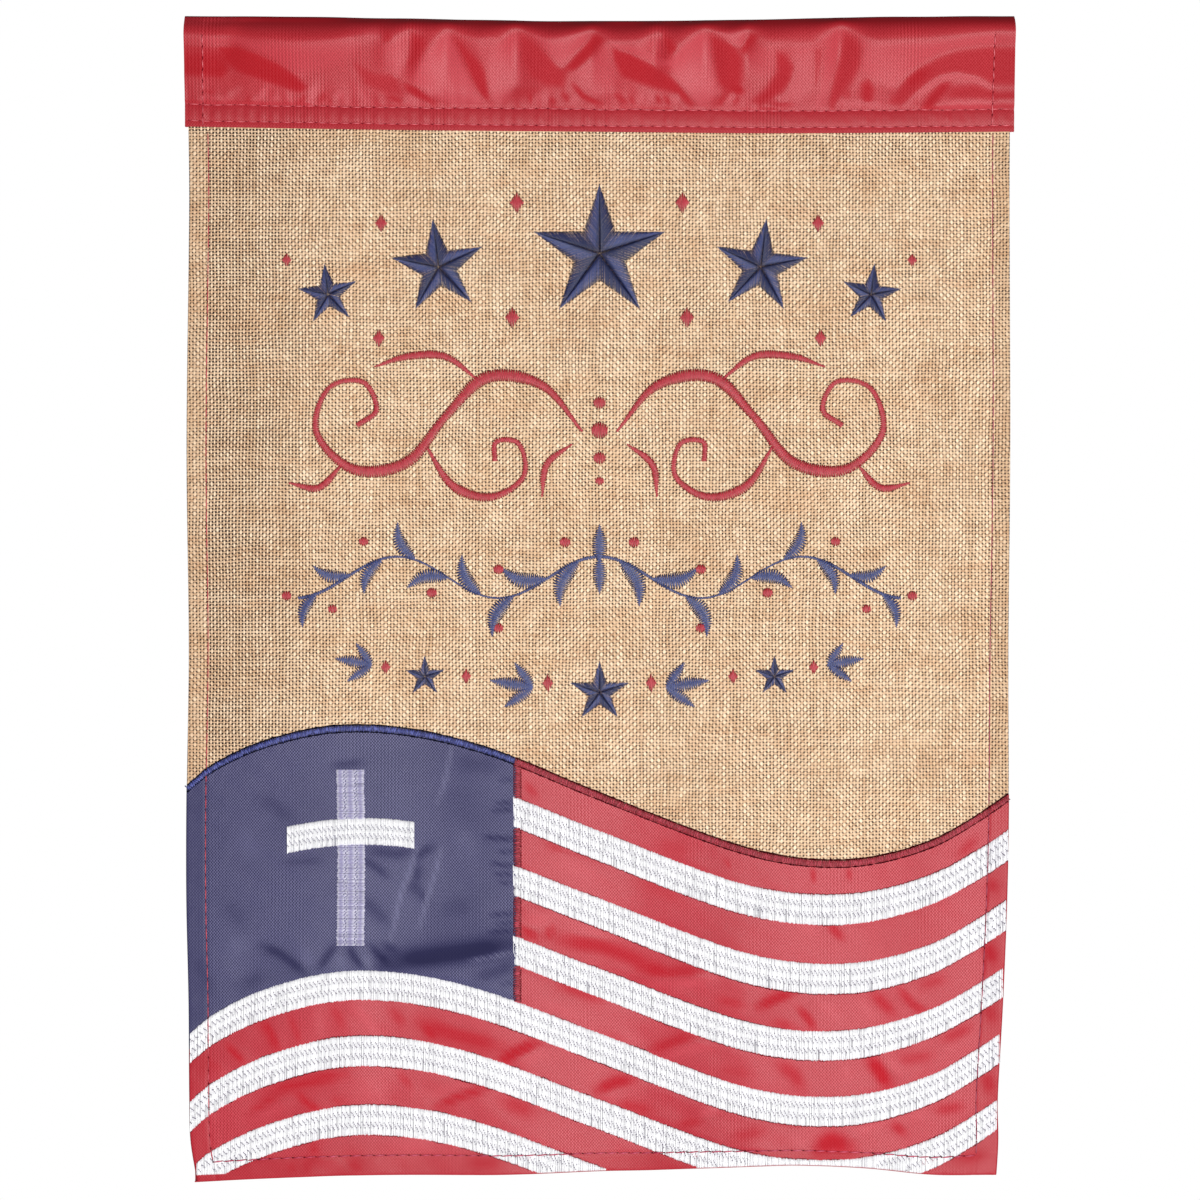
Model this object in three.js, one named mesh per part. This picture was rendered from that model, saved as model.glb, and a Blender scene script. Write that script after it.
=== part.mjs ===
// House flag: a burlap panel hung from a nylon pole sleeve, with a navy canton and a red field sewn over its lower third.
// Millimetres, +Z up, and the front faces -Y. The origin is the middle of the sleeve's top fold.
// Every cloth follows one shared hanging surface, so the layers lie on each other with an even gap.
import * as THREE from "three";

// ---- Cloth
const BURLAP_THICK = 1.5; // the panel's single layer
const HEM_THICK = 1.1; // the hem's second layer, turned to the back
const HEM_SIDE = 17.5; // width of the turned hem down each side
const HEM_FOOT = 15.5; // height of the turned hem along the foot
const HEM_STEP = 1.6; // width over which the hem's thickness begins
const NYLON_THICK = 1.0;
const GAP = 0.3; // between one cloth and the next

// ---- Pole sleeve: a band folded over its top, whose two legs hold the panel's top edge
const SLEEVE_WIDTH = 721;
const SLEEVE_SAG = 4.2; // how far the top fold hangs lower in its middle than at its ends
const SLEEVE_SAG_HALF = 330; // half width over which it sags
const SEAM_UP = 19.5; // upper seam above the sleeve's lower edge, where front and back close
const SEAM_TALL = 2.6; // height of the closed strip along that seam
const PANEL_IN = 17; // how far the panel's top edge reaches up into the sleeve
const SLEEVE_COLUMNS = 32;
// Half of the empty pocket's section: down is the share of the way from the top fold to the seam, and out the reach of its outer face.
const POCKET = [
  { down: 0.0, out: 0.0 },
  { down: 0.012, out: 2.5 },
  { down: 0.045, out: 5.6 },
  { down: 0.105, out: 10.0 },
  { down: 0.175, out: 13.2 },
  { down: 0.26, out: 14.4 },
  { down: 0.37, out: 13.2 },
  { down: 0.5, out: 10.4 },
  { down: 0.65, out: 7.0 },
  { down: 0.82, out: 3.9 },
  { down: 1.0, out: 2.05 },
];
// Lower edge of the sleeve.
const SLEEVE_FOOT = [
  { x: -360, z: -92.0 },
  { x: -195, z: -94.8 },
  { x: 0, z: -96.6 },
  { x: 157, z: -98.0 },
  { x: 360, z: -96.4 },
];
// Long soft creases of the sleeve's front, each leaning and a little proud.
const SLEEVE_CREASES = [
  { x: -270, lean: 0.5, half: 26, proud: 1.3 },
  { x: -120, lean: -0.6, half: 30, proud: -1.2 },
  { x: -40, lean: 0.4, half: 24, proud: 1.4 },
  { x: 75, lean: -0.5, half: 28, proud: 1.2 },
  { x: 175, lean: 0.55, half: 26, proud: -1.3 },
  { x: 290, lean: -0.4, half: 30, proud: 1.2 },
];

// ---- Panel
// Side edges, from the top down.
const SIDES = [
  { z: -75, left: -358.0, right: 357.1 },
  { z: -156, left: -357.1, right: 356.9 },
  { z: -373, left: -359.6, right: 357.8 },
  { z: -547, left: -357.8, right: 356.3 },
  { z: -677, left: -359.6, right: 356.5 },
  { z: -765, left: -359.6, right: 355.0 },
  { z: -852, left: -357.6, right: 351.5 },
  { z: -940, left: -356.9, right: 347.0 },
  { z: -975, left: -356.0, right: 347.6 },
  { z: -1010, left: -350.4, right: 345.4 },
];
// Foot edge.
const FOOT = [
  { x: -352, z: -1010.6 },
  { x: -295, z: -1007.1 },
  { x: -217, z: -1003.7 },
  { x: -87, z: -1003.3 },
  { x: 0, z: -1001.4 },
  { x: 40, z: -1000.6 },
  { x: 87, z: -998.0 },
  { x: 139, z: -995.4 },
  { x: 174, z: -994.6 },
  { x: 232, z: -997.5 },
  { x: 292, z: -1004.1 },
  { x: 346, z: -1004.8 },
];

// ---- Waves of the lower third: its top edge, from the left over its crest and its trough
const WAVE = [
  { x: -362, z: -668.1 },
  { x: -335, z: -646.9 },
  { x: -290, z: -626.6 },
  { x: -230, z: -613.6 },
  { x: -165, z: -616.6 },
  { x: -95, z: -633.7 },
  { x: -10, z: -668.3 },
  { x: 75, z: -701.8 },
  { x: 135, z: -721.5 },
  { x: 185, z: -729.7 },
  { x: 235, z: -728.1 },
  { x: 290, z: -713.4 },
  { x: 330, z: -691.4 },
  { x: 362, z: -668.9 },
];
const CANTON_RIGHT = -71.8; // where the canton meets the field
// How far the canton's foot lies below that edge.
const CANTON_DROP = [
  { x: -362, down: 230.5 },
  { x: -300, down: 228.4 },
  { x: -200, down: 225.3 },
  { x: -90, down: 223.7 },
  { x: 0, down: 221.6 },
  { x: 100, down: 220.5 },
  { x: 200, down: 217.6 },
  { x: 290, down: 215.7 },
  { x: 362, down: 215.5 },
];

// ---- How it hangs: flutes that grow towards the foot
const HANG_TOP = -70; // above this the sleeve holds it straight
const HANG_FOOT = -1000;
const FLUTES = [
  { depth: 4.2, width: 372, crest: -44, drift: 34 },
  { depth: 2.6, width: 241, crest: 92, drift: -52 },
  { depth: 1.2, width: 158, crest: -6, drift: 25 },
];
// Local bends of the cloth, each an elongated soft swell: centre, half length along its turn, half width, and how far it stands proud.
const BENDS = [
  { x: 352, z: -985, turn: 62, long: 70, wide: 26, proud: -4.0 },
  { x: 322, z: -1000, turn: -8, long: 60, wide: 22, proud: 2.4 },
  { x: -356, z: -1004, turn: 40, long: 60, wide: 30, proud: -3.0 },
  { x: -150, z: -850, turn: 28, long: 120, wide: 45, proud: 1.3 },
  { x: 120, z: -905, turn: -24, long: 130, wide: 40, proud: -1.4 },
  { x: -350, z: -560, turn: 86, long: 160, wide: 24, proud: -1.6 },
  { x: 350, z: -420, turn: 92, long: 170, wide: 22, proud: -1.5 },
];

// ---- Mesh density
const COLUMNS_LEFT = 12; // between the left hem and the canton's right edge
const COLUMNS_RIGHT = 17; // from there to the right hem
const ROWS_UPPER = 15; // between the sleeve and the waves
const ROWS_CANTON = 8; // between the wave's edge and the canton's foot
const ROWS_LOWER = 4; // below it, down to the foot hem

// ---- Interpolation along a table: smooth through its rows
function along(table, key, value, at) {
  const rows = [...table].sort((a, b) => a[key] - b[key]);
  const n = rows.length;
  if (at <= rows[0][key]) return rows[0][value];
  if (at >= rows[n - 1][key]) return rows[n - 1][value];
  let i = 0;
  while (rows[i + 1][key] < at) i++;
  const slope = (k) => {
    const a = rows[Math.max(0, k - 1)],
      b = rows[Math.min(n - 1, k + 1)];
    return (b[value] - a[value]) / (b[key] - a[key]);
  };
  const p = rows[i],
    q = rows[i + 1],
    h = q[key] - p[key],
    t = (at - p[key]) / h;
  return (
    (2 * t ** 3 - 3 * t ** 2 + 1) * p[value] +
    (t ** 3 - 2 * t ** 2 + t) * h * slope(i) +
    (3 * t ** 2 - 2 * t ** 3) * q[value] +
    (t ** 3 - t ** 2) * h * slope(i + 1)
  );
}

// ---- Edges
const leftEdge = (z) => along(SIDES, "z", "left", z);
const rightEdge = (z) => along(SIDES, "z", "right", z);
const footEdge = (x) => along(FOOT, "x", "z", x);
const sleeveFoot = (x) => along(SLEEVE_FOOT, "x", "z", x);
const sleeveTop = (x) =>
  (SLEEVE_SAG * (1 - Math.cos(Math.PI * Math.min(1, Math.abs(x) / SLEEVE_SAG_HALF)))) / 2;
const waveEdge = (x) => along(WAVE, "x", "z", x);
const cantonFoot = (x) => waveEdge(x) - along(CANTON_DROP, "x", "down", x);

// ---- Hanging surface: depth of the panel's middle at a place on the flag
const ease = (t) => {
  const c = Math.min(1, Math.max(0, t));
  return c * c * (3 - 2 * c);
};
function hang(x, z) {
  const down = (HANG_TOP - z) / (HANG_TOP - HANG_FOOT),
    grown = 0.1 + 0.9 * ease(0.12 + 0.88 * down),
    free = ease((HANG_TOP + 10 - z) / 90);
  let y = 0;
  for (const f of FLUTES)
    y += f.depth * grown * Math.cos((2 * Math.PI * (x - f.crest - f.drift * down)) / f.width);
  for (const b of BENDS) {
    const a = THREE.MathUtils.degToRad(b.turn),
      u = ((x - b.x) * Math.cos(a) + (z - b.z) * Math.sin(a)) / b.long,
      v = (-(x - b.x) * Math.sin(a) + (z - b.z) * Math.cos(a)) / b.wide;
    y -= b.proud * Math.exp(-(u * u + v * v) / 2);
  }
  return y * free;
}

// ---- A closed body through stations: each station holds the same points, and cells of four corners join them
function loft(stations, cells) {
  const n = stations[0].length,
    edges = new Map();
  for (const cell of cells)
    cell.forEach((p, k) => {
      const q = cell[(k + 1) % cell.length];
      if (!edges.delete(q + "," + p)) edges.set(p + "," + q, [p, q]);
    });
  const used = new Map(),
    position = [],
    index = [];
  const at = (s, p) => {
    const key = s * n + p;
    if (!used.has(key)) {
      used.set(key, position.length / 3);
      position.push(...stations[s][p]);
    }
    return used.get(key);
  };
  const last = stations.length - 1;
  for (const [a, b, c, d] of cells) {
    index.push(at(0, a), at(0, b), at(0, c), at(0, a), at(0, c), at(0, d));
    index.push(at(last, a), at(last, c), at(last, b), at(last, a), at(last, d), at(last, c));
  }
  for (let s = 0; s < last; s++)
    for (const [p, q] of edges.values())
      index.push(at(s, q), at(s, p), at(s + 1, p), at(s, q), at(s + 1, p), at(s + 1, q));
  const geometry = new THREE.BufferGeometry();
  geometry.setAttribute("position", new THREE.Float32BufferAttribute(position, 3));
  geometry.setIndex(index);
  geometry.computeVertexNormals();
  return geometry;
}

function cloth(name, geometry, color, roughness) {
  const material = new THREE.MeshStandardMaterial({ color, roughness, metalness: 0, flatShading: true });
  const mesh = new THREE.Mesh(geometry, material);
  mesh.name = name;
  return mesh;
}

// ---- Lattice of the panel, shared by the cloths on it
// Columns are even shares of the width between the hems, with two at each hem's step, and one on the canton's right edge.
const ROW_KINDS = [
  ...["top", "under", "below"],
  ...Array(ROWS_UPPER).fill("upper"),
  ...Array(ROWS_CANTON).fill("canton"),
  ...Array(ROWS_LOWER).fill("lower"),
  ...["hemTop", "foot"],
];
const ROWS = ROW_KINDS.length;
const ROW_WAVE = 2 + ROWS_UPPER; // the row on the wave's edge
const ROW_CANTON = ROW_WAVE + ROWS_CANTON; // the row on the canton's foot
const COLUMN_CANTON = 2 + COLUMNS_LEFT;
const COLUMNS = COLUMN_CANTON + COLUMNS_RIGHT + 2;

// Height of row j at a place across the flag.
function rowHeight(j, x) {
  const top = sleeveFoot(x),
    wave = waveEdge(x),
    canton = cantonFoot(x),
    foot = footEdge(x),
    hem = foot + HEM_FOOT;
  if (j === 0) return top + PANEL_IN;
  if (j === 1) return top - 2;
  if (j === 2) return top - 2 - HEM_STEP;
  if (j <= ROW_WAVE) return top - 2 - HEM_STEP + ((wave - top + 2 + HEM_STEP) * (j - 2)) / ROWS_UPPER;
  if (j <= ROW_CANTON) return wave + ((canton - wave) * (j - ROW_WAVE)) / ROWS_CANTON;
  if (j <= ROW_CANTON + ROWS_LOWER)
    return canton + ((hem + HEM_STEP - canton) * (j - ROW_CANTON)) / ROWS_LOWER;
  return j === ROWS - 1 ? foot : hem;
}

// Place of column i at a height.
function columnPlace(i, z) {
  const left = leftEdge(z),
    right = rightEdge(z),
    inLeft = left + HEM_SIDE + HEM_STEP,
    inRight = right - HEM_SIDE - HEM_STEP;
  if (i === 0) return left;
  if (i === 1) return left + HEM_SIDE;
  if (i <= COLUMN_CANTON) return inLeft + ((CANTON_RIGHT - inLeft) * (i - 2)) / COLUMNS_LEFT;
  if (i <= COLUMNS - 2) return CANTON_RIGHT + ((inRight - CANTON_RIGHT) * (i - COLUMN_CANTON)) / COLUMNS_RIGHT;
  return i === COLUMNS ? right : right - HEM_SIDE;
}

// A lattice point: the column leans with the edge and the row bends with the wave, so the two are settled together.
function lattice(i, j) {
  let x = columnPlace(i, -500),
    z = rowHeight(j, x);
  for (let k = 0; k < 12; k++) {
    x = columnPlace(i, z);
    z = rowHeight(j, x);
  }
  return { x, z };
}
const LATTICE = Array.from({ length: ROWS }, (_, j) =>
  Array.from({ length: COLUMNS + 1 }, (_, i) => lattice(i, j)),
);

// The hem's second layer: nothing within the sleeve, full at the edges.
const hemLayer = (i, j) =>
  j >= 2 && (i <= 1 || i >= COLUMNS - 1 || j >= ROWS - 2) ? HEM_THICK : 0;

// A cloth over the cells of the lattice that it covers, between two depths from the hanging surface.
// move shifts a lattice point sideways or up, to keep a gap to the cloth beside it.
function sheet(covers, front, back, move = (i, j, p) => p) {
  const stations = [front, back].map((depth) => {
    const points = [];
    for (let j = 0; j < ROWS; j++)
      for (let i = 0; i <= COLUMNS; i++) {
        const p = move(i, j, LATTICE[j][i]);
        points.push([p.x, hang(p.x, p.z) + depth(i, j), p.z]);
      }
    return points;
  });
  const cells = [],
    at = (i, j) => j * (COLUMNS + 1) + i;
  for (let j = 0; j < ROWS - 1; j++)
    for (let i = 0; i < COLUMNS; i++)
      if (covers(i, j)) cells.push([at(i, j), at(i, j + 1), at(i + 1, j + 1), at(i + 1, j)]);
  return loft(stations, cells);
}

const flag = new THREE.Group();

// ---- Panel
const PANEL_FRONT = -BURLAP_THICK / 2;
flag.add(
  cloth(
    "body_panel",
    sheet(
      () => true,
      () => PANEL_FRONT,
      (i, j) => BURLAP_THICK / 2 + hemLayer(i, j),
    ),
    0xd2b490,
    0.92,
  ),
);

// ---- Canton and field: one layer of nylon each, side by side on the panel's front
const NYLON_BACK = PANEL_FRONT - GAP,
  NYLON_FRONT = NYLON_BACK - NYLON_THICK;
const inCanton = (i, j) => j >= ROW_WAVE && j < ROW_CANTON && i < COLUMN_CANTON;
const inField = (i, j) => j >= ROW_WAVE && !inCanton(i, j);
// Half of the gap is taken from each cloth along the canton's right edge and foot.
const apart = (side) => (i, j, p) => ({
  x: i === COLUMN_CANTON && j <= ROW_CANTON ? p.x + (side * GAP) / 2 : p.x,
  z: j === ROW_CANTON && i <= COLUMN_CANTON ? p.z - (side * GAP) / 2 : p.z,
});
flag.add(
  cloth(
    "canton",
    sheet(
      inCanton,
      () => NYLON_FRONT,
      () => NYLON_BACK,
      apart(-1),
    ),
    0x3b3a5c,
    0.62,
  ),
);
flag.add(
  cloth(
    "field",
    sheet(
      inField,
      () => NYLON_FRONT,
      () => NYLON_BACK,
      apart(1),
    ),
    0xc4333f,
    0.6,
  ),
);

// ---- Pole sleeve
// Half of the band's section, from the foot of a leg up to the middle of the top fold: the outer face's reach and height.
const LEG_OUT = BURLAP_THICK / 2 + GAP + NYLON_THICK;
function sleeveHalf(x) {
  const foot = sleeveFoot(x),
    top = sleeveTop(x),
    seam = foot + SEAM_UP,
    pocket = seam + SEAM_TALL / 2;
  const legs = [
    { out: LEG_OUT, z: foot, share: 1 },
    { out: LEG_OUT, z: seam - SEAM_TALL / 2, share: 1 },
  ];
  const walls = POCKET.map((r) => ({ out: r.out, z: top + (pocket - top) * r.down, share: r.down }));
  return [...legs, ...walls.reverse()];
}
// Outer and inner point of the sheet at each step, as a section in the plane across the pole.
function sleeveSection(x) {
  const half = sleeveHalf(x),
    last = half.length - 1;
  const crease = (p) => {
    let y = 0;
    for (const c of SLEEVE_CREASES)
      y += c.proud * Math.exp(-(((x - c.x - c.lean * (p.z + 45)) / c.half) ** 2));
    return y * Math.sin(Math.PI * p.share) ** 0.8;
  };
  // The sheet's outward direction at a step, from the points on either side; the fold is the same on both sides of its top.
  const facing = half.map((p, k) => {
    const a = half[Math.max(0, k - 1)],
      b = k === last ? { out: -half[k - 1].out, z: half[k - 1].z } : half[k + 1],
      out = k <= 2 ? 1 : b.z - a.z,
      up = k <= 2 ? 0 : a.out - b.out,
      size = Math.hypot(out, up);
    return { out: out / size, up: up / size };
  });
  const side = (s) =>
    half.map((p, k) => {
      const y = hang(x, Math.min(p.z, HANG_TOP)),
        out = p.out + (s < 0 ? 1 : 0.5) * crease(p),
        n = facing[k];
      return {
        outer: [x, y + s * out, p.z],
        inner: [x, y + s * (out - NYLON_THICK * n.out), p.z - NYLON_THICK * n.up],
      };
    });
  const front = side(-1),
    back = side(1);
  return [...front, ...back.slice(0, -1).reverse()];
}
{
  const stations = [];
  for (let k = 0; k <= SLEEVE_COLUMNS; k++) {
    const x = SLEEVE_WIDTH * (k / SLEEVE_COLUMNS - 0.5);
    stations.push(sleeveSection(x).flatMap((p) => [p.outer, p.inner]));
  }
  const steps = stations[0].length / 2,
    cells = [];
  for (let k = 0; k < steps - 1; k++) cells.push([2 * k, 2 * k + 2, 2 * k + 3, 2 * k + 1]);
  // The closed strip along the upper seam joins the front leg's inner face to the back leg's.
  const f = 1,
    b = steps - 2;
  cells.push([2 * f + 1, 2 * f + 3, 2 * (b - 1) + 1, 2 * b + 1]);
  flag.add(cloth("pole_sleeve", loft(stations, cells), 0xb8323e, 0.55));
}

export default flag;
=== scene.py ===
import math

import bpy
import numpy as np
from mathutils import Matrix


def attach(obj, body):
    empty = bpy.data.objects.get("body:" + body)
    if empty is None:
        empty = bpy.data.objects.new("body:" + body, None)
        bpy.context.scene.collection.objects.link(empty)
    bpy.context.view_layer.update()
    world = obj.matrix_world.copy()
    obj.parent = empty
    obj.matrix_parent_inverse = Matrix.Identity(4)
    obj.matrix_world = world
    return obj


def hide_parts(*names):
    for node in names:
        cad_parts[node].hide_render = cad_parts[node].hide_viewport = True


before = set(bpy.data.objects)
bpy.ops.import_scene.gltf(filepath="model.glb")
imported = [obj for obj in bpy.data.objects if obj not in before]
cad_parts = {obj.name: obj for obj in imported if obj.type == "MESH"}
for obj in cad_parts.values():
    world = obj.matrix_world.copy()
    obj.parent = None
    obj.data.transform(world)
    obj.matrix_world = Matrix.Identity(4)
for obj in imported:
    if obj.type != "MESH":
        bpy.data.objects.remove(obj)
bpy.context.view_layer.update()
MM = 0.001

# ------------------------------------------------------------------ shape shared with the solids
SLEEVE_HALF = 360.5
SLEEVE_SAG, SLEEVE_SAG_HALF = 4.2, 330
SEAM_UP = 19.5
SEAM_LOW = 5.2
PANEL_IN = 16.4
SLEEVE_FOOT = [
    dict(x=-360, z=-92.0),
    dict(x=-195, z=-94.8),
    dict(x=0, z=-96.6),
    dict(x=157, z=-98.0),
    dict(x=360, z=-96.4),
]
POCKET = [
    dict(down=0.0, out=0.0),
    dict(down=0.012, out=2.5),
    dict(down=0.045, out=5.6),
    dict(down=0.105, out=10.0),
    dict(down=0.175, out=13.2),
    dict(down=0.26, out=14.4),
    dict(down=0.37, out=13.2),
    dict(down=0.5, out=10.4),
    dict(down=0.65, out=7.0),
    dict(down=0.82, out=3.9),
    dict(down=1.0, out=2.05),
]
SIDES = [
    dict(z=-75, left=-358.0, right=357.1),
    dict(z=-156, left=-357.1, right=356.9),
    dict(z=-373, left=-359.6, right=357.8),
    dict(z=-547, left=-357.8, right=356.3),
    dict(z=-677, left=-359.6, right=356.5),
    dict(z=-765, left=-359.6, right=355.0),
    dict(z=-852, left=-357.6, right=351.5),
    dict(z=-940, left=-356.9, right=347.0),
    dict(z=-975, left=-356.0, right=347.6),
    dict(z=-1010, left=-350.4, right=345.4),
]
FOOT = [
    dict(x=-352, z=-1010.6),
    dict(x=-295, z=-1007.1),
    dict(x=-217, z=-1003.7),
    dict(x=-87, z=-1003.3),
    dict(x=0, z=-1001.4),
    dict(x=40, z=-1000.6),
    dict(x=87, z=-998.0),
    dict(x=139, z=-995.4),
    dict(x=174, z=-994.6),
    dict(x=232, z=-997.5),
    dict(x=292, z=-1004.1),
    dict(x=346, z=-1004.8),
]
WAVE = [
    dict(x=-362, z=-668.1),
    dict(x=-335, z=-646.9),
    dict(x=-290, z=-626.6),
    dict(x=-230, z=-613.6),
    dict(x=-165, z=-616.6),
    dict(x=-95, z=-633.7),
    dict(x=-10, z=-668.3),
    dict(x=75, z=-701.8),
    dict(x=135, z=-721.5),
    dict(x=185, z=-729.7),
    dict(x=235, z=-728.1),
    dict(x=290, z=-713.4),
    dict(x=330, z=-691.4),
    dict(x=362, z=-668.9),
]
CANTON_RIGHT = -71.8
# How far the middle of each stripe lies below the wave's edge. The fourth lies over the canton's foot.
STRIPES = [
    dict(x=-362, k4=230.5, k5=290.2, k6=348.1),
    dict(x=-300, k4=228.4, k5=287.0, k6=347.4),
    dict(x=-200, k4=225.3, k5=282.2, k6=342.1),
    dict(x=-90, k1=46.8, k2=106.7, k3=167.0, k4=223.7, k5=281.3, k6=339.8),
    dict(x=0, k1=45.5, k2=104.2, k3=165.2, k4=221.6, k5=279.7, k6=338.1),
    dict(x=100, k1=45.2, k2=104.1, k3=163.9, k4=220.5, k5=277.7, k6=336.9),
    dict(x=200, k1=42.4, k2=102.4, k3=160.5, k4=217.6, k5=272.6, k6=335.0),
    dict(x=290, k1=41.9, k2=102.2, k3=158.3, k4=215.7, k5=271.9, k6=334.0),
    dict(x=362, k1=43.9, k2=103.5, k3=160.5, k4=215.5, k5=272.2, k6=334.0),
]
HANG_TOP, HANG_FOOT = -70, -1000
FLUTES = [
    dict(depth=4.2, width=372, crest=-44, drift=34),
    dict(depth=2.6, width=241, crest=92, drift=-52),
    dict(depth=1.2, width=158, crest=-6, drift=25),
]
BENDS = [
    dict(x=352, z=-985, turn=62, long=70, wide=26, proud=-4.0),
    dict(x=322, z=-1000, turn=-8, long=60, wide=22, proud=2.4),
    dict(x=-356, z=-1004, turn=40, long=60, wide=30, proud=-3.0),
    dict(x=-150, z=-850, turn=28, long=120, wide=45, proud=1.3),
    dict(x=120, z=-905, turn=-24, long=130, wide=40, proud=-1.4),
    dict(x=-350, z=-560, turn=86, long=160, wide=24, proud=-1.6),
    dict(x=350, z=-420, turn=92, long=170, wide=22, proud=-1.5),
]


def table(rows, key, value):
    """A smooth curve through a table's rows."""
    rows = sorted(rows, key=lambda r: r[key])
    at = np.array([r[key] for r in rows], float)
    v = np.array([r[value] for r in rows], float)
    n = len(at)
    m = np.array(
        [
            (v[min(n - 1, k + 1)] - v[max(0, k - 1)])
            / (at[min(n - 1, k + 1)] - at[max(0, k - 1)])
            for k in range(n)
        ]
    )

    def curve(x):
        x = np.clip(np.asarray(x, float), at[0], at[-1])
        i = np.clip(np.searchsorted(at, x, side="right") - 1, 0, n - 2)
        h = at[i + 1] - at[i]
        t = (x - at[i]) / h
        return (
            (2 * t**3 - 3 * t**2 + 1) * v[i]
            + (t**3 - 2 * t**2 + t) * h * m[i]
            + (3 * t**2 - 2 * t**3) * v[i + 1]
            + (t**3 - t**2) * h * m[i + 1]
        )

    return curve


left_edge = table(SIDES, "z", "left")
right_edge = table(SIDES, "z", "right")
foot_edge = table(FOOT, "x", "z")
sleeve_foot = table(SLEEVE_FOOT, "x", "z")
pocket_out = table(POCKET, "down", "out")
wave_edge = table(WAVE, "x", "z")
stripe_down = [table([r for r in STRIPES if f"k{k}" in r], "x", f"k{k}") for k in range(1, 7)]


def stripe_middle(k, x):
    return wave_edge(x) - stripe_down[k - 1](x)


def canton_foot(x):
    return stripe_middle(4, x)


def sleeve_top(x):
    return (
        SLEEVE_SAG * (1 - np.cos(np.pi * np.minimum(1, np.abs(x) / SLEEVE_SAG_HALF))) / 2
    )


def ease(t):
    c = np.clip(t, 0, 1)
    return c * c * (3 - 2 * c)


def swell(x, z, rows):
    """Long soft swells and hollows of a cloth."""
    y = 0
    for b in rows:
        a = math.radians(b["turn"])
        u = ((x - b["x"]) * math.cos(a) + (z - b["z"]) * math.sin(a)) / b["long"]
        v = (-(x - b["x"]) * math.sin(a) + (z - b["z"]) * math.cos(a)) / b["wide"]
        y = y + b["proud"] * np.exp(-(u * u + v * v) / 2)
    return y


def hang(x, z):
    """Depth of the hanging surface, the middle of the panel."""
    down = (HANG_TOP - z) / (HANG_TOP - HANG_FOOT)
    grown = 0.1 + 0.9 * ease(0.12 + 0.88 * down)
    free = ease((HANG_TOP + 10 - z) / 90)
    y = 0
    for f in FLUTES:
        y = y + f["depth"] * grown * np.cos(
            2 * np.pi * (x - f["crest"] - f["drift"] * down) / f["width"]
        )
    return (y - swell(x, z, BENDS)) * free


def ripples(seed, shortest, longest, count=9):
    """A seeded sum of waves in many directions: an uneven surface between about -1 and 1."""
    rng = np.random.default_rng(seed)
    length = np.exp(rng.uniform(math.log(shortest), math.log(longest), count))
    turn = rng.uniform(0, 2 * np.pi, count)
    phase = rng.uniform(0, 2 * np.pi, count)

    def at(x, z):
        y = 0
        for k in range(count):
            y = y + np.sin(
                2 * np.pi * (x * math.cos(turn[k]) + z * math.sin(turn[k])) / length[k]
                + phase[k]
            )
        return y / (0.6 * count)

    return at


def off_line(x, z, points):
    """Distance from a line of points, and the share of the way along it."""
    points = np.array(points, float)
    best, share = np.full(np.shape(x), 1e9), np.zeros(np.shape(x))
    total = np.hypot(*np.diff(points, axis=0).T)
    start = np.concatenate([[0], np.cumsum(total)])
    for k in range(len(points) - 1):
        (ax, az), (bx, bz) = points[k], points[k + 1]
        dx, dz = bx - ax, bz - az
        t = np.clip(((x - ax) * dx + (z - az) * dz) / (dx * dx + dz * dz), 0, 1)
        d = np.hypot(x - ax - t * dx, z - az - t * dz)
        near = d < best
        best = np.where(near, d, best)
        share = np.where(near, (start[k] + t * total[k]) / start[-1], share)
    return best, share


def inside(x, z, points):
    """Distance to an area's outline, below 0 inside it."""
    points = list(points)
    d, _ = off_line(x, z, points + points[:1])
    odd = np.zeros(np.shape(x), bool)
    for (ax, az), (bx, bz) in zip(points, points[1:] + points[:1]):
        if az != bz:
            cross = ((az > z) != (bz > z)) & (x < (bx - ax) * (z - az) / (bz - az) + ax)
            odd ^= cross
    return np.where(odd, -d, d)


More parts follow.
